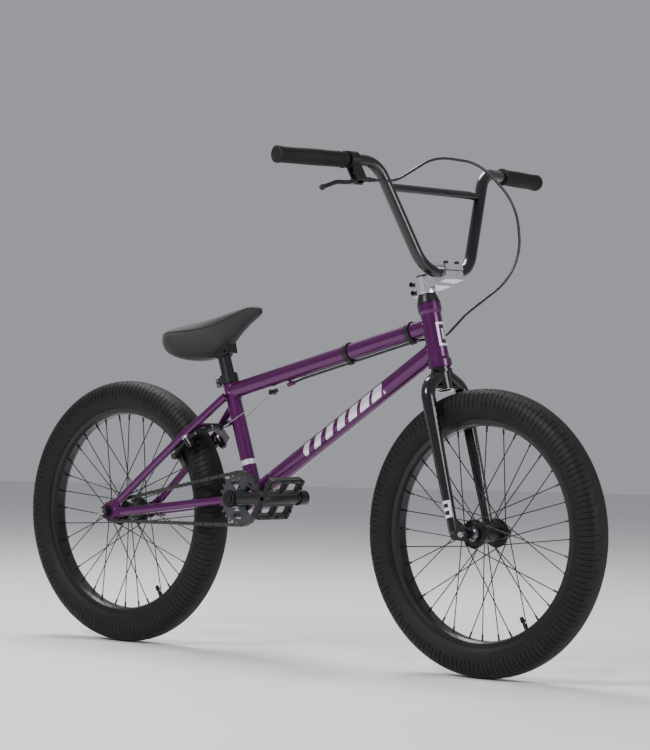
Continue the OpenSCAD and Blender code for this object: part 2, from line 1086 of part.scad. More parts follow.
// arm on the left boss, in the plane of y and the stays; n0 is its upper layer
module arm(n0) {
  difference() {
    union() {
      frame_at(brake_o, [0, 1, 0], s_dir, n_dir) {
        translate([stay_y, 0, 11.4])
        cylinder(r = 8, h = boss_n - 11.8);
        translate([stay_y, 0, 12])
        plate([[0, 0], [-1, pad_drop * 0.55], [-7, pad_drop + 4]], 6, 7);
        translate([stay_y, 0, n0])
        plate([[0, 0], [-6, 20], [-30, 36], [-stay_y - 26, 54]], 6.2, 6.2);
      }
      yrod(pad_p, 7, stay_y - 13, stay_y - 4);
      rod(brake_at(-26, 54, n0 + 3), brake_at(-26, 54, n0 + 3) + [26, 0, 1], 6);
      rod(brake_at(-26, 54, n0 + 3) + [16, 0, 0.6],
        brake_at(-26, 54, n0 + 3) + [22, 0, 0.8], 11);
    }
    rod(brake_at(stay_y, 0, 0), brake_at(stay_y, 0, 60), 8.1);
    yrod(pad_p, 3.05, 0, 90);
    yrod(pad_p, 6.1, stay_y - 4, 90);
  }
}

module brake_arm_left() {
  color("#1d1d20")
  arm(21.6);
}

module brake_arm_right() {
  color("#1d1d20")
  mirror([0, 1, 0])
  arm(12.6);
}

module shoe() {
  frame_at(pad_p, pad_t, [0, 1, 0], pad_e)
  translate([-25, rim_hw + 2.6, -5])
  cube([50, 9, 10]);
  yrod(pad_p, 3, rim_hw + 11, stay_y + 3);
  yrod(pad_p, 6, stay_y - 3.9, stay_y + 1);
}

module shoe_left() {
  color("#2b2b2e")
  shoe();
}

module shoe_right() {
  color("#2b2b2e")
  mirror([0, 1, 0])
  shoe();
}

module brake_wires() {
  color("#8e9095") {
    inner_cable();
    straddle_wire(1.6);
  }
}

module straddle_wire(d) {
  for (m = [[-26, 21.6], [26, 12.6]])
    rod(hang, brake_at(m[0], 54, m[1] + 3) + [27, 0, 1.1], d);
}

// ---------- sprocket and chain ----------

beta = atan2(crank_rise, xb - xr);
alpha = wrap(stay_len);
n_ring = (180 + 2 * alpha) / 360 * ring_teeth;
n_cog = (180 - 2 * alpha) / 360 * cog_teeth;
n_run = stay_len * cos(alpha) / pitch;
ring_0 = beta + 90 + alpha;
cog_0 = beta - 90 - alpha - (ceil(n_ring + n_run) - n_ring - n_run) * 360 / cog_teeth;
run_dir = [cos(ring_0 - 90), 0, sin(ring_0 - 90)];
low_dir = [-cos(beta - alpha), 0, -sin(beta - alpha)];

function link_at(i) =
  i < n_ring ? polar(bb, r_ring, ring_0 - i * 360 / ring_teeth, 0)
  : i < n_ring + n_run
  ? polar(bb, r_ring, beta - 90 - alpha, 0) + (i - n_ring) * pitch * low_dir
  : i < n_ring + n_run + n_cog
  ? polar(rear, r_cog, beta - 90 - alpha - (i - n_ring - n_run) * 360 / cog_teeth, 0)
  : polar(rear, r_cog, ring_0, 0) + (i - n_ring - n_run - n_cog) * pitch * run_dir;

// flat shape in x and z, filling y0 to y1
module slab(y0, y1) {
  translate([0, y1, 0])
  rotate([90, 0, 0])
  linear_extrude(y1 - y0)
  children();
}

module toothed(c, n, r, a0, over) {
  translate([c.x, c.z])
  difference() {
    circle(r = r + over);
    for (i = [0:n - 1])
      rotate(a0 + i * 360 / n)
      translate([r, 0])
      circle(r = 4.5, $fn = 48);
  }
}

module sprocket() {
  color("#4a4b50")
  difference() {
    slab(chain_y - 1.6, chain_y + 1.6)
    difference() {
      toothed(bb, ring_teeth, r_ring, ring_0, 2);
      translate([bb.x, bb.z])
      for (i = [0:4])
        rotate(crank_angle + 36 + i * 72)
        intersection() {
          difference() {
            circle(r = r_ring - 11);
            circle(r = 18);
          }
          polygon([[10, -2], [60, -23], [60, 23], [10, 2]]);
        }
    }
    yrod(bb, 11.02, -60, 0);
    yrod(bb + 30 * crank_dir, 4.05, -60, 0);
  }
}

module chain_side() {
  difference() {
    hull() {
      translate([rear.x, rear.z])
      circle(r = r_cog + 3.6);
      translate([bb.x, bb.z])
      circle(r = r_ring + 3.6);
    }
    hull() {
      translate([rear.x, rear.z])
      circle(r = r_cog - 3.6);
      translate([bb.x, bb.z])
      circle(r = r_ring - 3.6);
    }
  }
}

module chain() {
  color("#55565b") {
    slab(chain_y + 2.3, chain_y + 3.9)
    chain_side();
    slab(chain_y - 3.9, chain_y - 2.3)
    chain_side();
    for (i = [0:links - 1])
      yrod(link_at(i), 3.7, chain_y - 3, chain_y + 3);
  }
}

module driver() {
  color("#6a6b70")
  difference() {
    union() {
      slab(chain_y - 1.5, chain_y + 1.5)
      toothed(rear, cog_teeth, r_cog, cog_0, 0.9);
      yrod(rear, 13, -50.7, -33.7);
    }
    yrod(rear, 7.06, -60, 0);
  }
}

// ---------- cranks and pedals ----------

module yside(p, r, s, y0, y1) {
  yrod(p, r, min(s * y0, s * y1), max(s * y0, s * y1));
}

module crank_spindle() {
  color("#2c2c30") {
    yrod(bb, 11, -78, 78);
    yrod(bb, 14, 39, 51.8);
    yrod(bb, 14, -44.2, -39);
    yrod(bb, 14, -51.8, -47.8);
  }
}

module crank_arm(s) {
  p = pedal_c(s);
  color("#161618")
  difference() {
    union() {
      yside(bb, 17, s, 52, 77);
      cone(bb + [0, s * 65, 0], p + [0, s * 72, 0], 25, 20);
      yside(p, 14, s, 62, 82);
      if (s < 0)
        yrod(bb + 30 * crank_dir, 7, -62, -50.4);
    }
    yside(bb, 11.02, s, 40, 90);
    yside(p, 7.1, s, 40, 90);
    if (s < 0)
      yrod(bb + 30 * crank_dir, 4.05, -58, 0);
  }
}

module crank_arm_left() {
  crank_arm(1);
}

module crank_arm_right() {
  crank_arm(-1);
}

module crank_bolts() {
  color("#8b8d92") {
    for (s = [-1, 1]) {
      yside(bb, 15, s, 78.1, 80.5);
      yside(bb, 9, s, 80.4, 83);
    }
    yrod(bb + 30 * crank_dir, 4, -57.5, -40);
    yrod(bb + 30 * crank_dir, 6.5, -44.3, -40.5);
  }
}

module pedal_axle(s) {
  p = pedal_c(s);
  union() {
    yside(p, 7.05, s, 62.5, 83);
    yside(p, 9.5, s, 82.2, 86);
    yside(p, 6, s, 85, 174);
  }
}

module pedal_axles() {
  color("#85878c") {
    pedal_axle(1);
    pedal_axle(-1);
  }
}

pl = 86;
pw = 92;

module pedal(s) {
  color("#1a1a1b")
  translate(pedal_c(s))
  mirror([0, s < 0 ? 1 : 0, 0])
  rotate([0, -pedal_tilt, 0])
  difference() {
    union() {
      translate([-pl / 2, 88, -7])
      cube([pl, pw, 14]);
      translate([0, 88, 0])
      rotate([-90, 0, 0])
      cylinder(r = 11, h = pw);
      for (x = [-pl / 2 + 4, pl / 2 - 4], y = [8, 33, 59, pw - 8])
        translate([x, 88 + y, -10])
        cylinder(r = 1.8, h = 20, $fn = 24);
      for (x = [-24, 24], y = [4, pw - 4])
        translate([x, 88 + y, -10])
        cylinder(r = 1.8, h = 20, $fn = 24);
    }
    for (x = [-pl / 2 + 8, 15], y = [9, pw / 2 + 4])
      translate([x, 88 + y, -20])
      cube([pl / 2 - 23, pw / 2 - 13, 40]);
    translate([0, 80, 0])
    rotate([-90, 0, 0])
    cylinder(r = 6.05, h = 94.4);
  }
}

module pedal_left() {
  pedal(1);
}

module pedal_right() {
  pedal(-1);
}

// ---------- saddle ----------

post_top = on_seat(seat_tube_len + 52);

// saddle frame: x to the nose, z up through the padding
module on_saddle() {
  translate(post_top)
  rotate([0, -saddle_tilt, 0])
  children();
}

// saddle base: its ends along the saddle and half its width
base_x = [-28, 24];
base_y = 15;

module seat_post() {
  color("#202023")
  difference() {
    union() {
      rod(on_seat(seat_tube_len - 122), post_top, 25.4);
      yrod(post_top, 15, 1 - base_y, base_y - 1);
    }
    rod(on_seat(seat_tube_len - 123), on_seat(seat_tube_len + 30), 20);
  }
}

module saddle() {
  k = saddle_len / 248;
  w = saddle_w / 2;
  color("#1e1e20")
  on_saddle()
  difference() {
    hull() {
      for (m = [-1, 1]) {
        translate([-88 * k, m * (w - 25), 42])
        sphere(r = 23, $fn = 24);
        translate([-110 * k, m * 9, 42])
        sphere(r = 22, $fn = 24);
        translate([-50 * k, m * (w - 32), 40])
        sphere(r = 22, $fn = 24);
      }
      translate([-46 * k, 0, 2])
      sphere(r = 12, $fn = 20);
      translate([30 * k, 0, 18])
      sphere(r = 16, $fn = 20);
      translate([74 * k, 0, 48])
      sphere(r = 19, $fn = 20);
      translate([101 * k, 0, 50])
      sphere(r = 14, $fn = 20);
    }
    translate([base_x[0] - 1, -base_y - 1, -60])
    cube([base_x[1] - base_x[0] + 2, 2 * base_y + 2, 76]);
  }
}

module saddle_base() {
  color("#141415")
  on_saddle()
  difference() {
    union() {
      translate([base_x[0], -base_y, -9])
      cube([base_x[1] - base_x[0], 2 * base_y, 24.8]);
      translate([0, 0, 4])
      cylinder(r = 5, h = 11.8);
    }
    translate([0, -30, 0])
    rotate([-90, 0, 0])
    cylinder(r = 15.35, h = 60);
    translate([-21, -30, -20])
    cube([42, 60, 20]);
  }
}

// Piece to draw, or all

head_tube();
headset_bearings();
top_tube();
down_tube();
seat_tube();
bb_shell();
bb_bearings();
chain_stays();
seat_stays();
stay_bridges();
dropouts();
seat_clamp();
seat_clamp_bolts();
cable_guides();
housing_rear();
housing_front();
brake_bosses();
brake_arm_left();
brake_arm_right();
shoe_left();
shoe_right();
brake_wires();
cable_hanger();
rear_axle();
rear_nuts();
rear_bearings();
rear_hub();
rear_spokes();
rear_rim();
rear_tyre();
driver();
chain();
sprocket();
crank_spindle();
crank_arm_left();
crank_arm_right();
crank_bolts();
pedal_axles();
pedal_left();
pedal_right();
fork();
headset_cover();
stem_body();
stem_cap();
stem_bolts();
handlebar();
grip_left();
grip_right();
lever_bracket();
brake_lever();
front_axle();
front_nuts();
front_bearings();
front_hub();
front_spokes();
front_rim();
front_tyre();
seat_post();
saddle();
saddle_base();
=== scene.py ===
# %% [markdown]
# # A small-wheeled stunt bicycle
# The hard parts of this bicycle come ready-made from the frame: tubes, wheels, cranks, stem.
# This lesson gives every one of them its finish, and builds the pieces that need finer
# modelling than a solid can hold: tyres, chain, saddle, grips, pedals, cable and weld beads.
# We begin by loading the frame and noting how large it is.

# %% Load the frame
import bpy
import bmesh
import json
import math
import numpy as np
from mathutils import Matrix, Vector
from mathutils.bvhtree import BVHTree


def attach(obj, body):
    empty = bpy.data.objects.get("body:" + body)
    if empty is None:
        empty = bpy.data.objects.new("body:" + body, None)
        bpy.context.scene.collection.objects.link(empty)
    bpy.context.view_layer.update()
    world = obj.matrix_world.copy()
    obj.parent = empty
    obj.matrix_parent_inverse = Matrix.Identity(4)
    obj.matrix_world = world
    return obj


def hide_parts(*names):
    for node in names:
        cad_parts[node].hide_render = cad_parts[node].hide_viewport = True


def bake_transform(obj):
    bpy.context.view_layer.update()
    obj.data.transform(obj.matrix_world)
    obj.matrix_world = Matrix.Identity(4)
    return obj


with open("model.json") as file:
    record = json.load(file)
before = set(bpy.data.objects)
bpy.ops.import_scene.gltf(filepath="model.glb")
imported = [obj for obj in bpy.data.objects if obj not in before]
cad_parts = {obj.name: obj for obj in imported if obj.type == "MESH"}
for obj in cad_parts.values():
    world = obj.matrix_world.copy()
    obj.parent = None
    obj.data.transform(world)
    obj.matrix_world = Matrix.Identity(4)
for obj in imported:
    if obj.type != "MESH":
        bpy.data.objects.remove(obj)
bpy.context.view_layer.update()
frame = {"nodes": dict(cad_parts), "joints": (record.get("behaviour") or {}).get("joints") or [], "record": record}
record = frame["record"]
joints = {j["name"]: j for j in frame["joints"]}

# %% [markdown]
# ## Where things are
# A bicycle is drawn from a few lines: two axles, the crank centre, the steering axis and the
# seat tube. The joints already hold those lines, so we read them from there. The steering
# axis gets its own little coordinate frame, because everything from fork to grips turns on it.

# %% The main lines
MM = 0.001
rear = Vector(joints["rear_spin"]["pos_m"])
front = Vector(joints["front_spin"]["pos_m"])
bb = Vector(joints["crank_spin"]["pos_m"])
foot = Vector(joints["steer"]["pos_m"])
up = Vector(joints["steer"]["axis"])
ahead = Vector((up.z, 0, -up.x))
seat_dir = Vector(joints["seat_height"]["axis"])
post_top = Vector(joints["seat_tilt"]["pos_m"])
left = Vector((0, 1, 0))
R = rear.z
head_low, head_len = R + 54 * MM, 120 * MM
head_high = head_low + head_len
bar_mid = Vector((53 * MM, 0, head_high + 45 * MM))
TOP_TUBE, DOWN_TUBE, SEAT_TUBE, SHELL = 15.9, 17.5, 14.3, 25  # radii in millimetres


def steered(x, y, z):
    """A point of the steering frame, in the bicycle's frame."""
    return foot + x * ahead + y * left + z * up


print("wheelbase", round((front - rear).length, 3), "m, wheel radius", round(R, 3), "m")

# %% [markdown]
# ## Camera
# The bicycle is seen from its front right, low down and from a good distance, with a long
# lens, so that its lines stay nearly parallel. The camera leans by about a degree.

# %% Camera
CAMERA_AT = (3.5681, -4.0713, 0.523)
FOCAL, FRAME_HEIGHT, SENSOR = 2852.2, 750, 36
view_az, view_el, roll = (math.radians(a) for a in (130.736, 0.171, 1.226))
look_dir = Vector((
    math.cos(view_el) * math.cos(view_az),
    math.cos(view_el) * math.sin(view_az),
    math.sin(view_el)))
level = look_dir.cross(Vector((0, 0, 1))).normalized()
over = level.cross(look_dir)
right_hand = math.cos(roll) * level + math.sin(roll) * over
camera = bpy.data.objects.new("camera", bpy.data.cameras.new("camera"))
bpy.context.scene.collection.objects.link(camera)
camera.matrix_world = Matrix.Translation(CAMERA_AT) @ Matrix((
    right_hand, right_hand.cross(look_dir), -look_dir)).transposed().to_4x4()
camera.data.sensor_fit = "VERTICAL"
camera.data.sensor_height = SENSOR
camera.data.lens = SENSOR * FOCAL / FRAME_HEIGHT
camera.data.clip_end = 100
bpy.context.scene.camera = camera
print("camera", round(camera.data.lens, 1), "mm lens")

# %% [markdown]
# ## Shader maths
# A finish is a small sum: so much scratch here, a little dust there. Blender writes each
# addition as a node, which is slow to read. The class below wraps a socket so that
# `1 - mask * 0.3` adds its own Math nodes. A `Finish` holds one material and adds any other
# node with a single call: its kind, its settings, then what goes into its sockets.

# %% Sockets that can be reckoned with


class Value:
    """A node socket that Python's operators work on."""

    def __init__(self, finish, socket):
        self.finish, self.socket = finish, socket

    def _math(self, operation, a, b):
        return self.finish.node("ShaderNodeMath", {"operation": operation}, {0: a, 1: b})

    def __add__(self, other):
        return self._math("ADD", self, other)

    def __sub__(self, other):
        return self._math("SUBTRACT", self, other)

    def __rsub__(self, other):
        return self._math("SUBTRACT", other, self)

    def __mul__(self, other):
        return self._math("MULTIPLY", self, other)

    def __truediv__(self, other):
        return self._math("DIVIDE", self, other)

    def __rtruediv__(self, other):
        return self._math("DIVIDE", other, self)

    def __gt__(self, other):
        return self._math("GREATER_THAN", self, other)

    def __lt__(self, other):
        return self._math("LESS_THAN", self, other)

    def __pow__(self, other):
        return self._math("POWER", self, other)

    def __abs__(self):
        return self._math("ABSOLUTE", self, 0)

    def fract(self):
        return self._math("FRACT", self, 0)

    def sine(self):
        return self._math("SINE", self, 0)

    def between(self, low, high):
        """0 below low, 1 above high, and a smooth step from one to the other."""
        return self.finish.node(
            "ShaderNodeMapRange", {"interpolation_type": "SMOOTHSTEP"},
            {"Value": self, "From Min": low, "From Max": high})

    __radd__ = __add__
    __rmul__ = __mul__


class Finish:
    """One material, built around its Principled shader."""

    def __init__(self, name, **constants):
        self.material = bpy.data.materials.new(name)
        self.material.use_nodes = True
        self.tree = self.material.node_tree
        self.shader = self.tree.nodes["Principled BSDF"]
        self.set(**constants)

    def feed(self, socket, value):
        if isinstance(value, Value):
            self.tree.links.new(value.socket, socket)
        elif socket.type == "RGBA":
            socket.default_value = (*value[:3], 1)
        else:
            socket.default_value = value

    def node(self, kind, settings=None, inputs=None, out=0):
        made = self.tree.nodes.new(kind)
        for setting, value in (settings or {}).items():
            setattr(made, setting, value)
        for socket, value in (inputs or {}).items():
            self.feed(made.inputs[socket], value)
        return Value(self, made.outputs[out])

    def place(self):
        """The point on the piece, in its own coordinates, in metres."""
        return self.node("ShaderNodeTexCoord", out="Object")

    def axis(self, which):
        return self.node("ShaderNodeSeparateXYZ", None, {0: self.place()}, out=which)

    def along(self, direction, start):
        """How far the point lies from start along a direction, in metres."""
        arm = self.node(
            "ShaderNodeVectorMath", {"operation": "SUBTRACT"}, {0: self.place(), 1: start})
        return self.node(
            "ShaderNodeVectorMath", {"operation": "DOT_PRODUCT"}, {0: arm, 1: direction},
            out="Value")

    def noise(self, scale, detail=3, stretch=(1, 1, 1)):
        at = self.node(
            "ShaderNodeVectorMath", {"operation": "MULTIPLY"}, {0: self.place(), 1: stretch})
        return self.node(
            "ShaderNodeTexNoise", None, {"Vector": at, "Scale": scale, "Detail": detail})

    def cells(self, scale):
        return self.node("ShaderNodeTexVoronoi", None, {"Vector": self.place(), "Scale": scale})

    def mix(self, share, a, b):
        """From colour a to colour b as share goes from 0 to 1."""
        return self.node("ShaderNodeMix", {"data_type": "RGBA"}, {0: share, 6: a, 7: b}, out=2)

    def set(self, **sockets):
        for name, value in sockets.items():
            socket = name.replace("_", " ").title().replace("Ior", "IOR")
            self.feed(self.shader.inputs[socket], value)
        return self

    def bump(self, height, distance, strength=1.0):
        normal = self.node(
            "ShaderNodeBump", None, {"Height": height, "Distance": distance, "Strength": strength})
        self.feed(self.shader.inputs["Normal"], normal)
        return self


print("shader maths ready")

# %% [markdown]
# ## Metallic paint
# The frame is sprayed with a deep purple that holds fine metal flakes, under clear lacquer.
# A half-metallic base with a sparkle of cells in its colour gives the flakes, and the coat
# gives the wet gloss. Orange peel, the faint waviness of sprayed lacquer, is a low bump.

# %% Purple frame paint


def lacquer(name, deep, bright, metal, rough):
    f = Finish(
        name, metallic=metal, specular_ior_level=0.25, coat_weight=0.7, coat_roughness=0.05)
    flake = f.cells(2600).between(0.15, 0.5)
    cloud = f.noise(9, 2)
    dust = f.noise(160, 4).between(0.56, 0.74)
    f.set(base_color=f.mix(flake * 0.45 + cloud * 0.35, deep, bright),
          roughness=rough + 0.08 * cloud + 0.12 * dust)
    return f.bump(f.noise(420, 1), 0.00012, 0.35)


DEEP, BRIGHT = (0.034, 0.0006, 0.031), (0.115, 0.004, 0.110)
INK, COAL = (0.003, 0.003, 0.0035), (0.012, 0.012, 0.014)
purple = lacquer("purple_paint", DEEP, BRIGHT, 0.55, 0.24)
black_gloss = lacquer("black_paint", INK, COAL, 0.2, 0.2)
print("paint:", purple.material.name, black_gloss.material.name)

# %% [markdown]
# The down tube carries a plain graphic on each side: slanted pale bars that thin out towards
# the bottom. It is only colour, so it is a mask in the paint. One length runs up the tube,
# and another across it, and their sum slants the bars.

# %% Down tube graphic
down_a = bb + Vector((0, 0, 9 * MM))
down_b = steered(0, 0, head_low + 36 * MM)
down_dir = (down_b - down_a).normalized()
down_len = (down_b - down_a).length
graphic = lacquer("purple_paint_barred", DEEP, BRIGHT, 0.55, 0.24)
run = graphic.along(down_dir, down_a) / down_len
height = graphic.along(down_dir.cross(left), down_a)
side = abs(graphic.axis("Y"))
slant = (run - height * 1.6) * 15
bar = (slant.fract() > (1 - run) * 0.75)
field = (abs(height) < 0.0105) * (run > 0.3) * (run < 0.74) * (side > 0.008)


def decal(finish, mask, colour):
    """Lays a flat colour over a finish's own colour where the mask is 1."""
    under = finish.shader.inputs["Base Color"].links[0].from_socket
    finish.set(base_color=finish.mix(mask, Value(finish, under), colour))


WHITE = (0.74, 0.72, 0.78)
decal(graphic, bar * field, WHITE)
banded = lacquer("purple_paint_banded", DEEP, BRIGHT, 0.55, 0.24)
height = banded.along(seat_dir, bb)
decal(banded, (height > 0.066) * (height < 0.076), WHITE)
stickered = lacquer("black_paint_stickered", INK, COAL, 0.2, 0.2)
height, ahead_of = stickered.along(up, foot), stickered.along(ahead, foot)
frame_x, frame_z = abs(ahead_of), abs(height - 0.052)
tall = (frame_x < 0.0088) * (frame_z < 0.0155) * (abs(stickered.axis("Y")) > 0.0575)
hollow = (frame_x < 0.0052) * (frame_z < 0.0105) * (frame_z > 0.0028)
decal(stickered, tall * (1 - hollow), WHITE)
print("graphic on", round(down_len, 3), "m of down tube, a band and two stickers")

# %% [markdown]
# ## Metals, rubbers and plastics
# Each bare or plated metal has its own grain: fine turning marks on axles, a satin blast on
# black alloy, polish with hairline scratches on the stem. Rubber is rough and slightly dusty.
# Moulded plastic has a fine pebble from its mould. One helper covers all of them: it varies
# colour and roughness with slow and fast noise, and bumps with the fast one.

# %% The other finishes


def grainy(name, dark, light, rough, metal, grain, depth, stretch=(1, 1, 1), **constants):
    f = Finish(name, metallic=metal, **constants)
    slow, fast = f.noise(14, 3), f.noise(grain, 2, stretch)
    smudge = f.noise(60, 5).between(0.5, 0.72)
    f.set(base_color=f.mix(slow * 0.6 + fast * 0.4, dark, light),
          roughness=rough - 0.06 + 0.1 * slow + 0.1 * smudge)
    return f.bump(fast, depth, 0.5)


finishes = {
    "frame_paint": purple,
    "black_paint": black_gloss,
    "polished": grainy(
        "polished_stem", (0.62, 0.63, 0.65), (0.86, 0.87, 0.88), 0.22, 0.9, 500, 1e-5, (1, 6, 1)),
    "black_alloy": grainy(
        "black_alloy", (0.006, 0.006, 0.007), (0.020, 0.020, 0.022), 0.34, 0.3, 1500, 2e-5,
        specular_ior_level=0.4),
    "rim_black": grainy(
        "black_rim", (0.007, 0.007, 0.008), (0.022, 0.022, 0.024), 0.34, 0.3, 900, 2e-5,
        specular_ior_level=0.4),
    "grip": grainy(
        "grip_rubber", (0.004, 0.004, 0.004), (0.012, 0.012, 0.012), 0.6, 0, 1700, 5e-5,
        specular_ior_level=0.25),
    "spoke": grainy(
        "black_spoke", (0.012, 0.012, 0.013), (0.045, 0.045, 0.048), 0.32, 0.7, 600, 1e-5),
    "bearing": grainy(
        "bearing_steel", (0.30, 0.31, 0.33), (0.52, 0.53, 0.55), 0.3, 1.0, 700, 1e-5),
    "axle": grainy(
        "plated_axle", (0.34, 0.34, 0.36), (0.58, 0.59, 0.61), 0.34, 1.0, 900, 4e-5, (0.2, 5, 0.2)),
    "bolt_black": grainy(
        "black_bolt", (0.012, 0.012, 0.013), (0.04, 0.04, 0.043), 0.4, 0.8, 900, 2e-5),
    "bolt_silver": grainy(
        "silver_bolt", (0.4, 0.41, 0.42), (0.66, 0.67, 0.68), 0.3, 1.0, 900, 2e-5),
    "sprocket": grainy(
        "grey_sprocket", (0.045, 0.045, 0.050), (0.10, 0.10, 0.108), 0.42, 0.75, 800, 2e-5),
    "chain": grainy(
        "oiled_chain", (0.035, 0.033, 0.032), (0.12, 0.115, 0.11), 0.33, 0.9, 700, 2e-5),
    "pedal": grainy(
        "pedal_plastic", (0.004, 0.004, 0.004), (0.013, 0.013, 0.013), 0.45, 0, 1500, 4e-5,
        specular_ior_level=0.35),
    "plastic": grainy(
        "black_plastic", (0.005, 0.005, 0.005), (0.015, 0.015, 0.015), 0.42, 0, 1500, 4e-5,
        specular_ior_level=0.35),
    "cable": grainy(
        "cable_sheath", (0.006, 0.006, 0.007), (0.016, 0.016, 0.017), 0.28, 0, 900, 2e-5),
    "wire": grainy(
        "steel_wire", (0.32, 0.33, 0.34), (0.52, 0.53, 0.54), 0.36, 1.0, 2500, 8e-5, (3, 3, 3)),
    "brake_pad": grainy(
        "pad_rubber", (0.015, 0.015, 0.016), (0.05, 0.05, 0.05), 0.7, 0, 1200, 5e-5),
}
print("finishes:", ", ".join(finishes))

# %% [markdown]
# ## Finishes on the ready-made parts
# The record says which finish each part takes, so we read it and fill the material slot.

# %% Dress the parts
slot_of = {s["node"]: s["material_slot"] for s in record["subparts"]}
special = {"down_tube": graphic, "seat_tube": banded, "fork": stickered}
for node, part in frame["nodes"].items():
    part.data.materials.clear()
    finish = finishes.get(slot_of[node], black_gloss)
    part.data.materials.append(special.get(node, finish).material)
print("dressed", len(slot_of), "parts")

# %% [markdown]
# ## A bag for mesh
# Most of the finer pieces are round sections swept or turned, or flat outlines given a
# thickness. `Soup` collects corners and faces from such shapes and turns them into one mesh.

# %% Mesh tools


class Soup:
    def __init__(self):
        self.points, self.faces = [], []

    def add(self, points, faces):
        start = len(self.points)
        self.points += [tuple(p) for p in points]
        self.faces += [tuple(start + i for i in f) for f in faces]
        return self

    def rings(self, rings, closed=False, capped=True):
        """Skin over rings of points that all have the same number of corners."""
        n, m = len(rings), len(rings[0])
        faces = []
        for i in range(n if closed else n - 1):
            a, b = i * m, (i + 1) % n * m
            faces += [(a + j, a + (j + 1) % m, b + (j + 1) % m, b + j) for j in range(m)]
        if capped and not closed:
            faces += [tuple(reversed(range(m))), tuple(range((n - 1) * m, n * m))]
        return self.add([p for r in rings for p in r], faces)

    def turned(self, origin, direction, profile, sides=48):
        """Profile is (distance along the axis, radius); the ends are closed."""
        z = Vector(direction).normalized()
        x = z.orthogonal().normalized()
        y = z.cross(x)
        turn = [2 * math.pi * k / sides for k in range(sides)]
        return self.rings([
            [Vector(origin) + z * d + (x * math.cos(t) + y * math.sin(t)) * r for t in turn]
            for d, r in profile])

    def tube(self, path, radius, sides=12, closed=False):
        """A round section along a path; radius is a number or one for each point."""
        path = [Vector(p) for p in path]
        n = len(path)
        radii = [radius] * n if isinstance(radius, (int, float)) else radius
        tangent = [(path[(i + 1) % n if closed else min(i + 1, n - 1)]
                    - path[i - 1 if closed else max(i - 1, 0)]).normalized() for i in range(n)]
        side = tangent[0].orthogonal().normalized()
        rings = []
        for p, t, r in zip(path, tangent, radii):
            side = (side - t * side.dot(t)).normalized()
            other = t.cross(side)
            rings.append([p + (side * math.cos(a) + other * math.sin(a)) * r
                          for a in (2 * math.pi * k / sides for k in range(sides))])
        if closed:
            lag = min(range(sides), key=lambda k: (rings[-1][k] - rings[0][0]).length)
            rings[-1] = rings[-1][lag:] + rings[-1][:lag] if lag else rings[-1]
        return self.rings(rings, closed)

    def plate(self, outline, lift, thick):
        """A flat outline of points, given a thickness along lift."""
        lift = Vector(lift).normalized() * thick / 2
        ring = [Vector(p) for p in outline]
        return self.rings([[p - lift for p in ring], [p + lift for p in ring]])

    def piece(self, name, finish, body, slot, origin=None, smooth=40, bevel=0):
        mesh = bpy.data.meshes.new(name)
        shift = Vector(origin or (0, 0, 0))
        mesh.from_pydata([tuple(Vector(p) - shift) for p in self.points], [], self.faces)
        obj = bpy.data.objects.new(name, mesh)
        bpy.context.scene.collection.objects.link(obj)
        obj.location = shift
        return dress(obj, finish, body, smooth, bevel)


def dress(obj, finish, body, smooth=40, bevel=0):
    """Outward faces, smooth shading up to an angle, a finish, and the body it rides on."""
    mesh = obj.data
    tidy = bmesh.new()
    tidy.from_mesh(mesh)
    bmesh.ops.remove_doubles(tidy, verts=tidy.verts, dist=1e-6)
    bmesh.ops.recalc_face_normals(tidy, faces=tidy.faces)
    if bevel:
        sharp = math.radians(30)
        edges = [e for e in tidy.edges if e.is_manifold and e.calc_face_angle(0) > sharp]
        bmesh.ops.bevel(
            tidy, geom=edges, offset=bevel, segments=2, affect="EDGES", clamp_overlap=True)
    tidy.to_mesh(mesh)
    tidy.free()
    mesh.shade_smooth()
    mesh.set_sharp_from_angle(angle=math.radians(smooth))
    mesh.materials.clear()
    mesh.materials.append(finish.material)
    if body:
        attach(obj, body)
    return obj


def rounded(points, radii, steps=10):
    """A polyline with each inner corner replaced by an arc."""
    points = [Vector(p) for p in points]
    path = [points[0]]
    for before, p, after, r in zip(points, points[1:], points[2:], radii):
        u, v = (p - before).normalized(), (after - p).normalized()
        half = u.angle(v) / 2
        start = p - u * r * math.tan(half)
        middle = p + (v - u).normalized() * r / math.cos(half)
        for k in range(steps + 1):
            turn = 2 * half * k / steps
            path.append(middle + (start - middle) * math.cos(turn) + u * r * math.sin(turn))
    return path + [points[-1]]


def in_mm(*profile):
    """A turned profile whose distances and radii are given in millimetres."""
    return [(d * MM, r * MM) for d, r in profile]


print("mesh tools ready")

# %% [markdown]
# ## Tyres
# These are wide street tyres with a nearly smooth crown. Thin grooves cross the shoulders in
# threes, two long ones that hook round on the crown and a short one, and fine rings run round
# above the rim. A bump in the shader would leave the edge of the tyre smooth, so the grooves
# are made in the mesh: its cross lines follow them, which needs few corners for sharp edges.

# %% Tyre rubber
tyre_rubber = Finish("tyre_rubber", metallic=0, specular_ior_level=0.22)
reach = (tyre_rubber.axis("X") ** 2 + tyre_rubber.axis("Z") ** 2) ** 0.5
grit, patch = tyre_rubber.noise(1300, 2), tyre_rubber.noise(22, 4)
tread_dust = reach.between(0.252, 0.2595)
tyre_rubber.set(
    base_color=tyre_rubber.mix(
        patch * 0.5 + tread_dust * 0.4, (0.0045, 0.0045, 0.005), (0.018, 0.0175, 0.0175)),
    roughness=0.5 + 0.14 * patch + 0.12 * tread_dust)
rings_on_wall = (
    (reach * 2600).sine() * (1 - reach.between(0.226, 0.232)) * reach.between(0.209, 0.212))
tyre_rubber.bump(grit * 0.4 + rings_on_wall * 0.8, 0.00022, 0.7)
print("tyre rubber mixed")

# %% Tyre mesh
HALF = 30 * MM
WALL = 3 * MM
GROOVES = 150
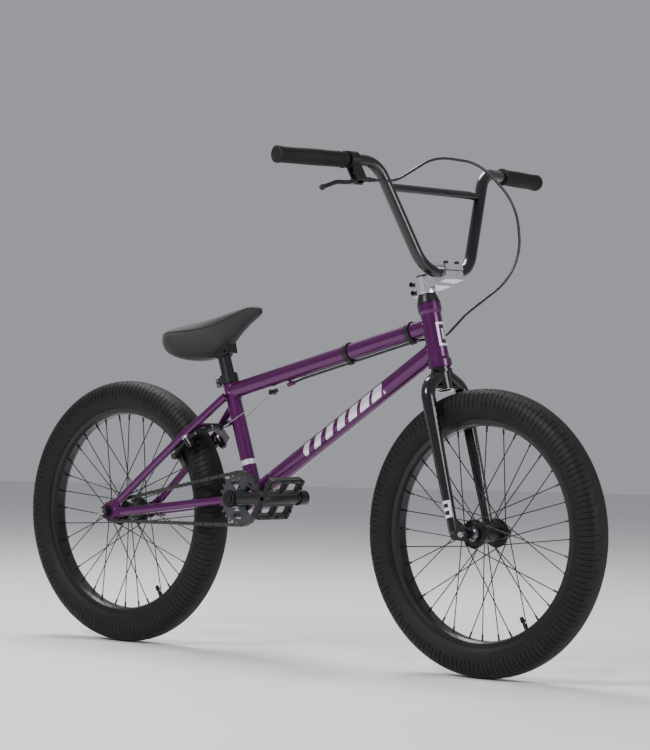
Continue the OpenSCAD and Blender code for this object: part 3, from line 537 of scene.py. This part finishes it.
# where the mesh lines lie from one groove to the next, and how deep each one is cut
ACROSS_GROOVE = [
    (0, 0), (0.05, 0), (0.075, 1), (0.15, 1), (0.175, 0), (0.23, 0), (0.5, 0), (0.75, 0)]


def step(x, low, high):
    t = np.clip((x - low) / (high - low), 0, 1)
    return t * t * (3 - 2 * t)


def tyre_section():
    """Outside of the tyre from bead to bead, as radii, y and angles round the section."""
    angle = np.radians(np.linspace(-131, 131, 67))
    c, s = np.cos(angle), np.sin(angle)
    power = 2 / 2.35
    r = R - HALF + HALF * np.sign(c) * np.abs(c) ** power
    y = HALF * np.sign(s) * np.abs(s) ** power
    return r, y, angle


def tyre(name, centre, body, node):
    r, y, angle = tyre_section()
    cuts = np.arange(GROOVES)
    share, cut = np.array(ACROSS_GROOVE).T
    turn = 2 * np.pi / GROOVES * (cuts[:, None] + share[None, :]).ravel()
    around = len(turn)
    kind = np.repeat(cuts % 3, len(share))[:, None]
    cut = np.tile(cut, GROOVES)[:, None]
    wide, bent = np.abs(y)[None, :], np.abs(angle)[None, :]
    hook = 1.1 * np.clip((15 * MM - wide) / (9 * MM), 0, 1) ** 1.7 - wide * 12
    inner = np.choose(kind, [6.5 * MM, 8.5 * MM, 19 * MM])
    outer = np.choose(kind, [1.62, 1.55, 1.45])
    length = step(wide, inner, inner + 1.5 * MM) * (1 - step(bent, outer, outer + 0.12))
    ring = sum(0.5 * np.exp(-((bent - at) / 0.018) ** 4) for at in (1.80, 1.95))
    deep = 1.6 * MM * cut * length + 1.2 * MM * ring
    T = turn[:, None] + 2 * np.pi / GROOVES * hook
    rr = r[None, :] - np.cos(angle)[None, :] * deep
    yy = y[None, :] - np.sin(angle)[None, :] * deep
    inside = [
        (r[-1] - 4 * MM, y[-1] - 4.2 * MM), (R - 53.8 * MM, 15.2 * MM),
        (R - 56.6 * MM, 15.2 * MM), (R - 56.6 * MM, 12.6 * MM), (R - 52 * MM, 14 * MM)]
    wall = [(R - HALF + (HALF - WALL) * math.cos(a), (HALF - WALL) * math.sin(a))
            for a in np.radians(np.linspace(125, -125, 15))]
    other = [(a, -b) for a, b in reversed(inside)]
    loop = np.array(inside + wall + other)
    rr = np.hstack([rr, np.repeat(loop[None, :, 0], around, 0)])
    yy = np.hstack([yy, np.repeat(loop[None, :, 1], around, 0)])
    T = np.hstack([T, np.repeat(turn[:, None] + T[:1, -1:], len(loop), 1)])
    grid = np.stack([rr * np.cos(T), yy, rr * np.sin(T)], -1)
    n, m = grid.shape[:2]
    i, j = np.meshgrid(np.arange(n), np.arange(m), indexing="ij")
    i2, j2 = (i + 1) % n, (j + 1) % m
    faces = np.stack([i * m + j, i2 * m + j, i2 * m + j2, i * m + j2], -1).reshape(-1, 4)
    mesh = bpy.data.meshes.new(name)
    mesh.from_pydata(grid.reshape(-1, 3).tolist(), [], faces.tolist())
    obj = bpy.data.objects.new(name, mesh)
    bpy.context.scene.collection.objects.link(obj)
    obj.location = centre
    dress(obj, tyre_rubber, body, smooth=35)
    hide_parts(node)
    return obj


for name, centre in (("front", front), ("rear", rear)):
    made = tyre(f"{name}_tyre_tread", centre, f"{name}_wheel", f"{name}_tyre")
    print(made.name, len(made.data.vertices), "corners")

# %% [markdown]
# ## Valves
# Each inner tube breathes through a valve that stands on the inside of the rim: a rubber
# stem, a threaded brass end and a small ribbed cap. It is a turned profile.

# %% Valves
VALVE_AT = math.radians(-60)
for name, centre in (("front", front), ("rear", rear)):
    inward = -Vector((math.cos(VALVE_AT), 0, math.sin(VALVE_AT)))
    seat = centre - inward * (R - 66 * MM)
    valve = Soup().turned(seat, inward, in_mm(
        (-2, 4.6), (1, 4.6), (3, 3.4), (13, 3.0), (13.5, 2.6),
        (17, 2.6), (17.2, 3.9), (18, 4.2), (26, 3.8), (27, 2.8)), sides=24)
    valve.piece(f"{name}_valve", finishes["grip"], f"{name}_wheel", "tyre")
print("two valves")

# %% [markdown]
# ## Chain
# The CAD chain is a pair of bands. A real one alternates wide and narrow links, each a pair
# of waisted plates on rollers and pins, so we walk round the same line, twelve point seven
# millimetres at a time, and set a link at every step. The chain stays with the frame.

# %% Chain line
PITCH = 12.7 * MM
RING_TEETH, COG_TEETH = 25, 9
chain_y = -46 * MM
r_ring = PITCH / 2 / math.sin(math.pi / RING_TEETH)
r_cog = PITCH / 2 / math.sin(math.pi / COG_TEETH)
stay = (bb - rear).length
alpha = math.asin((r_ring - r_cog) / stay)
beta = math.atan2(bb.z - rear.z, bb.x - rear.x)
on_ring = (math.pi + 2 * alpha) / (2 * math.pi) * RING_TEETH
on_cog = (math.pi - 2 * alpha) / (2 * math.pi) * COG_TEETH
on_run = stay * math.cos(alpha) / PITCH


def round_wheel(c, r, a):
    return Vector((c.x + r * math.cos(a), chain_y, c.z + r * math.sin(a)))


def chain_at(i):
    """Joint number i of the chain, from the top of the sprocket forward and round."""
    top, low = beta + math.pi / 2 + alpha, beta - math.pi / 2 - alpha
    if i < on_ring:
        return round_wheel(bb, r_ring, top - i * 2 * math.pi / RING_TEETH)
    if i < on_ring + on_run:
        share = (i - on_ring) / on_run
        return round_wheel(bb, r_ring, low).lerp(round_wheel(rear, r_cog, low), share)
    if i < on_ring + on_run + on_cog:
        return round_wheel(rear, r_cog, low - (i - on_ring - on_run) * 2 * math.pi / COG_TEETH)
    share = (i - on_ring - on_run - on_cog) / on_run
    return round_wheel(rear, r_cog, top).lerp(round_wheel(bb, r_ring, top), share)


LINKS = round(on_ring + on_cog + 2 * on_run)
print("chain of", LINKS, "links")

# %% Chain links


def link_outline(a, b, big, waist):
    """A waisted plate round two pins, as points in the plane of the chain."""
    u = (b - a).normalized()
    v = u.cross(left)
    shape = []
    for c, start in ((b, -90), (a, 90)):
        turn = [math.radians(start + 15 * k) for k in range(1, 12)]
        shape += [c + (u * math.cos(t) + v * math.sin(t)) * big for t in turn]
        middle = (a + b) / 2
        shape.append(middle + v * waist * (1 if start == -90 else -1))
    return shape


plates, rollers = Soup(), Soup()
pins = [chain_at(i) for i in range(LINKS)]
for i, a in enumerate(pins):
    b = pins[(i + 1) % LINKS]
    outer = i % 2
    for side in (-1, 1):
        y = side * (3.55 if outer else 2.6) * MM
        ring = [p + left * y for p in link_outline(a, b, 3.75 * MM, 2.7 * MM)]
        plates.plate(ring, left, 0.85 * MM)
    rollers.turned(a - left * 2.1 * MM, left, in_mm((0, 3.6), (4.2, 3.6)), sides=20)
    rollers.turned(a - left * 4.5 * MM, left, in_mm(
        (0, 1.2), (0.3, 1.75), (8.7, 1.75), (9.0, 1.2)), sides=14)
chain_plates = plates.piece("chain_plates", finishes["chain"], "frame", "chain", smooth=50)
rollers.piece("chain_rollers", finishes["chain"], "frame", "chain", smooth=50)
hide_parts("chain")
print(len(chain_plates.data.polygons), "faces in the plates")

# %% [markdown]
# ## Saddle
# The saddle is a padded one: foam under a woven cover, deep at the sides, with its nose up.
# We skin a rough body over cross-sections, then let cloth pressure swell it, because foam
# under fabric is full between its seams. Remeshing gives the cloth even squares to bend.
# The swelling is capped, so that the saddle keeps its measured outline.

# %% Saddle cover fabric
fabric = Finish("saddle_fabric", metallic=0, sheen_weight=0.06, sheen_roughness=0.5)
weave_u = (fabric.along((0.974, 0, 0.225), (0, 0, 0)) * 2400).sine()
weave_v = (fabric.axis("Y") * 2400).sine()
weave = weave_u * weave_v
worn = fabric.noise(18, 4)
fabric.set(
    base_color=fabric.mix(worn * 0.7 + weave * 0.15, (0.005, 0.005, 0.006), (0.020, 0.020, 0.022)),
    roughness=0.66 + 0.12 * worn)
fabric.bump(weave * 0.5 + fabric.noise(300, 2), 0.0003, 0.5)
print("saddle fabric mixed")

# %% Saddle frame
tilt = math.radians(13)
nose = Vector((math.cos(tilt), 0, math.sin(tilt)))
crown = Vector((-math.sin(tilt), 0, math.cos(tilt)))


def on_saddle(x, y, z):
    """A point of the saddle, in millimetres: x to the nose, z up through the padding."""
    return post_top + (nose * x + left * y + crown * z) * MM


# stations along the saddle: x, half width, top, bottom
STATIONS = [
    (-134, 15, 60, 34), (-130, 26, 63, 25), (-122, 37, 64.5, 18), (-112, 47, 65, 13),
    (-100, 57, 65, 7), (-86, 63, 64.5, 1), (-70, 65, 63.5, -4), (-52, 58, 62.5, -7),
    (-28, 44, 62, -8), (0, 33, 62.5, -2), (26, 27, 64, 12), (56, 22.5, 66, 29),
    (82, 20, 68, 40), (100, 17, 67.5, 45), (111, 11, 62, 49)]
SQUARENESS = 0.62  # 1 is an ellipse, and less is squarer


def saddle_ring(x, half, top, low, count=40):
    middle, tall = (top + low) / 2, (top - low) / 2
    ring = []
    for k in range(count):
        a = 2 * math.pi * k / count
        c, s = math.cos(a), math.sin(a)
        y = half * math.copysign(abs(c) ** SQUARENESS, c)
        z = tall * math.copysign(abs(s) ** SQUARENESS, s)
        narrow = 1 - 0.35 * max(0, -s) ** 1.5
        ring.append(on_saddle(x, y * narrow, middle + z))
    return ring


def smooth_stations(stations, extra=3):
    """More stations between the given ones, on a smooth curve."""
    table = np.array(stations, float)
    at = np.linspace(0, len(table) - 1, (len(table) - 1) * extra + 1)
    rows = []
    for t in at:
        i = min(int(t), len(table) - 2)
        f = t - i
        p0, p1, p2, p3 = (table[min(max(i + d, 0), len(table) - 1)] for d in (-1, 0, 1, 2))
        rows.append(0.5 * (2 * p1 + (p2 - p0) * f + (2 * p0 - 5 * p1 + 4 * p2 - p3) * f * f
                           + (3 * p1 - p0 - 3 * p2 + p3) * f ** 3))
    return rows


def swell(obj, voxel=5 * MM, pressure=4, cap=4 * MM):
    """Cloth under pressure, as foam fills its cover."""
    scene = bpy.context.scene
    bpy.context.view_layer.objects.active = obj
    remesh = obj.modifiers.new("even", "REMESH")
    remesh.mode, remesh.voxel_size = "VOXEL", voxel
    bpy.ops.object.modifier_apply(modifier=remesh.name)
    before = np.array([v.co for v in obj.data.vertices])
    cloth = obj.modifiers.new("foam", "CLOTH")
    cloth.settings.use_pressure = True
    cloth.settings.uniform_pressure_force = pressure
    cloth.settings.effector_weights.gravity = 0
    cloth.settings.tension_stiffness = cloth.settings.compression_stiffness = 40
    cloth.settings.bending_stiffness = 6
    for number in range(1, 21):
        scene.frame_set(number)
    shaped = obj.evaluated_get(bpy.context.evaluated_depsgraph_get())
    after = np.array([v.co for v in shaped.data.vertices])
    obj.modifiers.remove(cloth)
    scene.frame_set(1)
    move = after - before
    size = np.maximum(np.linalg.norm(move, axis=1, keepdims=True), 1e-9)
    obj.data.vertices.foreach_set("co", (before + move * np.minimum(1, cap / size)).ravel())
    soften = obj.modifiers.new("soften", "SMOOTH")
    soften.factor, soften.iterations = 0.5, 4
    bpy.ops.object.modifier_apply(modifier=soften.name)
    divide = obj.modifiers.new("divide", "SUBSURF")
    divide.levels = 1
    bpy.ops.object.modifier_apply(modifier=divide.name)


body = Soup().rings([saddle_ring(*row) for row in smooth_stations(STATIONS)])
cover = body.piece("saddle_cover", fabric, None, "saddle_cover", smooth=180)
swell(cover)
dress(cover, fabric, "saddle", smooth=180)
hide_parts("saddle")
print("saddle", [round(d, 3) for d in cover.dimensions])

# %% [markdown]
# The cover is sewn from a top panel and two side panels, so a seam with a row of stitches
# runs along each side, under the edge of the top. It is laid on the finished mesh: we aim at
# the cover from outside and keep the points where it is met.

# %% Saddle seams
tree = BVHTree.FromObject(cover, bpy.context.evaluated_depsgraph_get())
seams = Soup()
table = smooth_stations(STATIONS, 8)
for side in (-1, 1):
    line = []
    for x, half, top, low in table[4:-3]:
        aim = on_saddle(x, side * (half + 30), top - (top - low) * 0.24 + 12)
        target = on_saddle(x, 0, top - (top - low) * 0.24 - 4)
        hit = tree.ray_cast(aim, (target - aim).normalized())
        if hit[0]:
            line.append(hit[0] + hit[1] * 0.2 * MM)
    seams.tube(line, 0.95 * MM, 8)
    for first, second in zip(line[::2], line[1::2]):
        drop = crown * -2.6 * MM
        a, b = (tree.find_nearest(p + drop) for p in (first, second))
        seams.tube([a[0] + a[1] * 0.25 * MM, b[0] + b[1] * 0.25 * MM], 0.32 * MM, 6)
seam_piece = seams.piece("saddle_seams", fabric, "saddle", "saddle_cover", smooth=60)
print("seams of", len(seam_piece.data.vertices), "corners")

# %% [markdown]
# ## Grips
# Each grip is one rubber moulding: a thin inner flange, fine rings all the way along, a
# broader pad in the middle, and a thick end with its plug pushed in. All of it is one
# turned profile, and the rings are a wave added to the radius.

# %% Grips


def line_of(node):
    """The two ends of a long straight part, found from the spread of its corners."""
    co = np.array([v.co for v in frame["nodes"][node].data.vertices])
    middle = (co.max(0) + co.min(0)) / 2
    main = np.linalg.svd(co - co.mean(0), full_matrices=False)[2][0]
    main = main if main[1] * middle[1] > 0 else -main
    s = (co - middle) @ main
    off = (co - middle) - np.outer(s, main)
    middle = middle + (off.max(0) + off.min(0)) / 2
    return Vector(middle + main * s.min()), Vector(middle + main * s.max())


for name in ("left", "right"):
    a, b = line_of(f"grip_{name}")
    long = (b - a).length
    profile = in_mm((0, 11.2), (0, 15.0), (0.6, 16.2), (3.6, 16.3), (5, 15))
    rows = 150
    for k in range(rows + 1):
        d = 6 * MM + (long - 15 * MM) * k / rows
        wave = 0.5 - 0.5 * math.cos(2 * math.pi * k / 5)
        pad = step(np.array(k / rows), 0.3, 0.36) * (1 - step(np.array(k / rows), 0.66, 0.72))
        profile.append((d, (14.1 + 0.95 * wave * (1 - 0.4 * pad) + 0.7 * pad) * MM))
    profile += [(long - d, r) for d, r in in_mm(
        (8.4, 15.4), (7, 15.9), (2, 15.7), (0.6, 14.4), (0.2, 9), (1.2, 8), (1.2, 3), (0.4, 2))]
    grip = Soup().turned(a, b - a, profile, sides=64)
    made = grip.piece(f"grip_{name}_ribbed", finishes["grip"], "steering", "grip", smooth=50)
    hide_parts(f"grip_{name}")
    print(made.name, round(long, 3), "m")

# %% [markdown]
# ## Pedals
# A platform pedal is a moulded frame with four windows, a round body for the bearing, and
# steel-hard pins that hold the shoe. Its outline is a rounded rectangle; the frame is built
# as cells of a grid with the window cells left out, and then bevelled like a moulding.

# %% Pedals
PEDAL_TILT = math.radians(60)
WIDE, OUT_TO_PEDAL = 92, 88
COLUMNS = [-43, -35, -25, -15, 15, 25, 35, 43]
ROWS = [0, 9, 42, 50, 83, WIDE]
HALF_LONG = COLUMNS[-1]
# the cell on each side, and the two corners of the edge it shares
NEIGHBOURS = {(0, -1): (0, 1), (1, 0): (1, 2), (0, 1): (2, 3), (-1, 0): (3, 0)}


def pedal(name, side, body, node):
    spin = Vector(joints[f"pedal_spin_{name}"]["pos_m"])
    u = Vector((math.cos(PEDAL_TILT), 0, math.sin(PEDAL_TILT)))
    w = Vector((-math.sin(PEDAL_TILT), 0, math.cos(PEDAL_TILT)))
    out = left * side

    def at(x, y, z):
        return spin + (u * x + out * (OUT_TO_PEDAL + y) + w * z) * MM

    def waist(x):
        """Half the platform's thickness; it thins in the middle, so that the shoe beds in."""
        return 7 - 1.9 * math.cos(math.pi * min(1, abs(x) / HALF_LONG) / 2) ** 2

    cage = Soup()
    solid = {(i, j): not (i in (1, 2, 4, 5) and j in (1, 3))
             for i in range(len(COLUMNS) - 1) for j in range(len(ROWS) - 1)}
    for (i, j), full in solid.items():
        if not full:
            continue
        x0, x1, y0, y1 = COLUMNS[i], COLUMNS[i + 1], ROWS[j], ROWS[j + 1]
        corners = [(x0, y0), (x1, y0), (x1, y1), (x0, y1)]
        soft = [(x * (0.93 if abs(x) == HALF_LONG and y in (0, WIDE) else 1), y)
                for x, y in corners]
        cage.add([at(x, y, waist(x)) for x, y in soft], [(0, 1, 2, 3)])
        cage.add([at(x, y, -waist(x)) for x, y in soft], [(3, 2, 1, 0)])
        for (di, dj), (a, b) in NEIGHBOURS.items():
            if not solid.get((i + di, j + dj), False):
                (xa, ya), (xb, yb) = soft[a], soft[b]
                cage.add([at(xa, ya, waist(xa)), at(xb, yb, waist(xb)),
                          at(xb, yb, -waist(xb)), at(xa, ya, -waist(xa))], [(0, 1, 2, 3)])
    made = cage.piece(f"pedal_{name}_cage", finishes["pedal"], body, "pedal", bevel=1.3 * MM)
    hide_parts(node)
    more = Soup()
    more.turned(at(0, 0, 0), out, in_mm(
        (0, 7), (0, 10.4), (1.5, 11), (90, 11), (91.6, 10), (WIDE, 4)), 40)

    def pins(columns, rows, lift, profile):
        for x, y, z in ((x, y, z) for x in columns for y in rows for z in (-1, 1)):
            more.turned(at(x, y, z * lift), w * z, profile, 14)

    pins((-39, 39), (8, 33, 59, 84), 5, in_mm(
        (0, 2.4), (2.2, 2.4), (2.3, 1.8), (4.7, 1.7), (5, 1.3)))
    pins((-25, 25), (4.5, WIDE - 4.5), 4, in_mm(
        (0, 2.4), (2.4, 2.4), (2.5, 1.8), (5.6, 1.7), (5.9, 1.3)))
    for x in (-30, -20, 20, 30):
        more.tube([at(x, 46, 6.3), at(x, 46, -6.3)], 1.4 * MM, 8)
    return more.piece(f"pedal_{name}_barrel", finishes["pedal"], body, "pedal")


for name, side in (("left", 1), ("right", -1)):
    print(pedal(name, side, f"pedal_{name}", f"pedal_{name}").name)

# %% [markdown]
# ## Brake cable
# The cable leaves the lever, crosses over the brace, drops in a big loop in front of the left
# side of the bars, and comes in beside the head tube to a clip under the top tube. The loop
# is spare length, so that the bars can turn. It is stiff and springy, so its curve is wide.
# It follows the same points as the solid, with its corners rounded.

# %% Cable route
lever_u = Vector((-0.190606, -0.981662, -0.002904))
lever_exit = Vector((0.323406, -0.194507, 0.88575))
top_a = bb + 215 * MM * seat_dir
top_b = steered(0, 0, head_high - 39 * MM)
top_dir = (top_b - top_a).normalized()
top_down = Vector((top_dir.z, 0, -top_dir.x))
clip = top_a.lerp(top_b, 0.9) + top_down * (TOP_TUBE + 3.2) * MM


def from_bars(x, y, z):
    return steered(bar_mid.x + x * MM, y * MM, bar_mid.z + z * MM)


route = [
    lever_exit, lever_exit - lever_u * 58 * MM, from_bars(46, -30, 204.9),
    from_bars(70, 70, 192.5), from_bars(84, 138, 113.9), from_bars(66, 142, -6),
    steered(30 * MM, 66 * MM, head_high - 24 * MM), clip + top_dir * 47 * MM + left * 38 * MM,
    clip + top_dir * 14 * MM, clip + top_dir * 0.3 * MM]
BENDS = (100, 130, 100, 110, 120, 110, 36, 18)
path = rounded(route, [r * MM for r in BENDS], 12)
cable_len = sum((b - a).length for a, b in zip(path, path[1:]))
print("cable of", round(cable_len, 3), "m")

# %% Cable
housing = Soup().tube(path, 2.5 * MM, 16).piece(
    "brake_housing", finishes["cable"], None, "cable", smooth=60)
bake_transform(housing)
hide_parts("housing_front")
print("cable laid through", len(path), "points")

# %% [markdown]
# ## Weld beads
# The tubes are welded, and the welder's puddle leaves a row of small overlapping scales round
# each joint. To find that line, we start from circles round one tube and slide each point
# along the tube until it meets the other, which is a quadratic in one unknown. A tube swept
# along the line, with its radius rippling, is the bead.

# %% Weld beads


def meet(p, d, c, axis, radius):
    """Where the line from p along d first meets the cylinder round c."""
    w = p - c
    w, e = w - axis * w.dot(axis), d - axis * d.dot(axis)
    a, b, q = e.dot(e), 2 * w.dot(e), w.dot(w) - radius * radius
    root = b * b - 4 * a * q
    if root < 0:
        return None
    return p + d * (-b - math.sqrt(root)) / (2 * a)


def bead(soup, start, toward, radius, c, axis, big, size=2.1 * MM):
    """A bead where the tube from start, running toward, meets a thicker tube."""
    toward, axis = toward.normalized(), axis.normalized()
    x = toward.orthogonal().normalized()
    y = toward.cross(x)
    around = 132
    line = []
    for k in range(around):
        t = 2 * math.pi * k / around
        hit = meet(start + (x * math.cos(t) + y * math.sin(t)) * radius, toward, c, axis, big)
        if hit is None:
            return
        line.append(hit)
    long = sum((b - a).length for a, b in zip(line, line[1:] + line[:1]))
    scales = round(long / (2.6 * MM))
    radii = [size * (0.86 + 0.14 * abs(math.sin(math.pi * scales * k / around)))
             for k in range(around)]
    soup.tube(line, radii, 10, closed=True)


beads = Soup()
steer_c = steered(0, 0, 0)
top_mid, down_mid = top_a.lerp(top_b, 0.5), down_a.lerp(down_b, 0.5)
bead(beads, top_mid, top_b - top_a, TOP_TUBE * MM, steer_c, up, 19 * MM)
bead(beads, down_mid, down_b - down_a, DOWN_TUBE * MM, steer_c, up, 19.4 * MM)
bead(beads, top_mid, top_a - top_b, TOP_TUBE * MM, bb, seat_dir, SEAT_TUBE * MM + 1.75 * MM)
bead(beads, bb + seat_dir * 120 * MM, -seat_dir, SEAT_TUBE * MM, bb, left, SHELL * MM)
bead(beads, down_mid, down_a - down_b, DOWN_TUBE * MM, bb, left, SHELL * MM)
weld = beads.piece("frame_welds", purple, "frame", "frame_paint", smooth=60)
print("welds", len(weld.data.vertices), "corners")

# %% [markdown]
# ## Stay ends
# The seat stays run into the sides of the seat tube and the chain stays into the shell. Their
# beads use the same helper, once for each side.

# %% Stay welds
stay_beads = Soup()
s_aim = bb + seat_dir * 205 * MM
knee_dir = (s_aim - rear - Vector((0, 0, 6 * MM))).normalized()
knee = rear + knee_dir * (R - 13 * MM)
for side in (-1, 1):
    top_end = s_aim + Vector((-4 * MM, side * 18.5 * MM, 0))
    stay_knee = knee + left * side * 46 * MM
    bead(stay_beads, stay_knee, top_end - stay_knee, 8 * MM, bb, seat_dir, SEAT_TUBE * MM,
         1.7 * MM)
    chain_knee = bb + Vector((-94 * MM, side * 42 * MM, -11 * MM))
    chain_front = bb + Vector((-14 * MM, side * 24 * MM, 0))
    bead(stay_beads, chain_knee, chain_front - chain_knee, 8.5 * MM, bb, left, SHELL * MM,
         1.7 * MM)
if stay_beads.points:
    stay_beads.piece("stay_welds", purple, "frame", "frame_paint", smooth=60)
print("stay welds", len(stay_beads.points), "corners")

# %% [markdown]
# ## Head badge
# A plain white frame sits on the front of the head tube, with a short bar inside it. Both are
# thin strips bent round the tube, so each one is a small grid on a cylinder.

# %% Head badge
white = Finish("white_badge", metallic=0, coat_weight=0.6)
white.set(base_color=white.mix(white.noise(60), (0.70, 0.70, 0.72), (0.82, 0.82, 0.84)),
          roughness=0.3 + 0.1 * white.noise(200))
badge = Soup()
badge_z = head_low + 60 * MM


def strip(turn_a, turn_b, z_a, z_b, columns=10):
    """A patch of the head tube's front, between two turns (radians) and two heights (mm)."""
    corners = ((z_a, 18.9), (z_a, 19.6), (z_b, 19.6), (z_b, 18.9))
    badge.rings([
        [steered(r * MM * math.cos(t), r * MM * math.sin(t), badge_z + z * MM)
         for z, r in corners]
        for t in np.linspace(turn_a, turn_b, columns)])


for patch_at in (
        (-0.62, 0.62, 18, 22), (-0.62, 0.62, -22, -18), (-0.62, -0.42, -18, 18),
        (0.42, 0.62, -18, 18), (-0.1, 0.1, -10, 10)):
    strip(*patch_at)
badge.piece("head_badge", white, "frame", "bolt_silver", smooth=40)
print("badge made")

# %% [markdown]
# ## Brake springs and small hardware
# Round each brake boss a coil spring opens the arm again. A stepped metal ferrule finishes
# the sheath where it leaves the lever.

# %% Springs and ferrule
normal = Vector((knee_dir.z, 0, -knee_dir.x))
boss = knee + 4 * MM * knee_dir
for side, name in ((1, "left"), (-1, "right")):
    turns = [2 * math.pi * k / 20 for k in range(20 * 3 + 1)]
    centre = boss + left * side * 46 * MM
    coil = [centre + normal * (11.6 - 6.2 + 2.0 * t / (2 * math.pi) * 0.95) * MM
            + (left * math.cos(t) + knee_dir * math.sin(t)) * 8.2 * MM for t in turns]
    Soup().tube(coil, 0.75 * MM, 8).piece(
        f"brake_spring_{name}", finishes["bolt_silver"], "frame", "bolt_silver")
ferrule = Soup().turned(lever_exit - lever_u * -2 * MM, -lever_u, in_mm(
    (0, 4.4), (4, 4.4), (4.4, 3.6), (14, 3.4), (15, 2.6)), 24)
ferrule.piece("lever_ferrule", finishes["bolt_black"], "steering", "bolt_black")
print("springs and ferrule")

# %% [markdown]
# ## Floor and light
# The bicycle stands on a pale floor under large soft lamps: one high on the viewer's left as
# the key, one low on the right to open the shadows, and one behind that draws the highlights
# along the tubes. A pale world fills in the rest.

# %% Floor
floor_look = Finish("studio_floor", metallic=0)
floor_look.set(
    base_color=floor_look.mix(floor_look.noise(2, 3), (0.72, 0.72, 0.73), (0.80, 0.80, 0.81)),
    roughness=0.55 + 0.1 * floor_look.noise(9, 2))
FLOOR, SIDES = 9, 96
rim = [2 * math.pi * k / SIDES for k in range(SIDES)]
floor_mesh = bpy.data.meshes.new("floor")
floor_mesh.from_pydata(
    [(FLOOR * math.cos(t), FLOOR * math.sin(t), 0) for t in rim], [], [tuple(range(SIDES))])
floor_obj = bpy.data.objects.new("floor", floor_mesh)
bpy.context.scene.collection.objects.link(floor_obj)
floor_mesh.materials.append(floor_look.material)
print("floor laid")

# %% Lamps
away = Vector((look_dir.x, look_dir.y, 0)).normalized()
across = away.cross(Vector((0, 0, 1)))


def lamp(name, at, aim, size, watts):
    data = bpy.data.lights.new(name, "AREA")
    data.size, data.energy = size, watts
    obj = bpy.data.objects.new(name, data)
    bpy.context.scene.collection.objects.link(obj)
    obj.location = at
    obj.rotation_euler = (Vector(aim) - Vector(at)).to_track_quat("-Z", "Y").to_euler()


centre = Vector((0, 0, 0.45))
lamp("key", centre - away * 2.2 - across * 2.1 + Vector((0, 0, 2.3)), centre, 1.1, 130)
lamp("fill", centre - away * 2.2 + across * 2.8 + Vector((0, 0, 0.9)), centre, 1.6, 55)
lamp("back", centre + away * 1.5 - across * 0.6 + Vector((0, 0, 2.6)), centre, 1.4, 110)
world = bpy.data.worlds.new("world")
bpy.context.scene.world = world
world.use_nodes = True
sky = world.node_tree.nodes["Background"].inputs
sky["Color"].default_value = (0.92, 0.94, 1.0, 1)
sky["Strength"].default_value = 0.38
print("three lamps and a pale world")
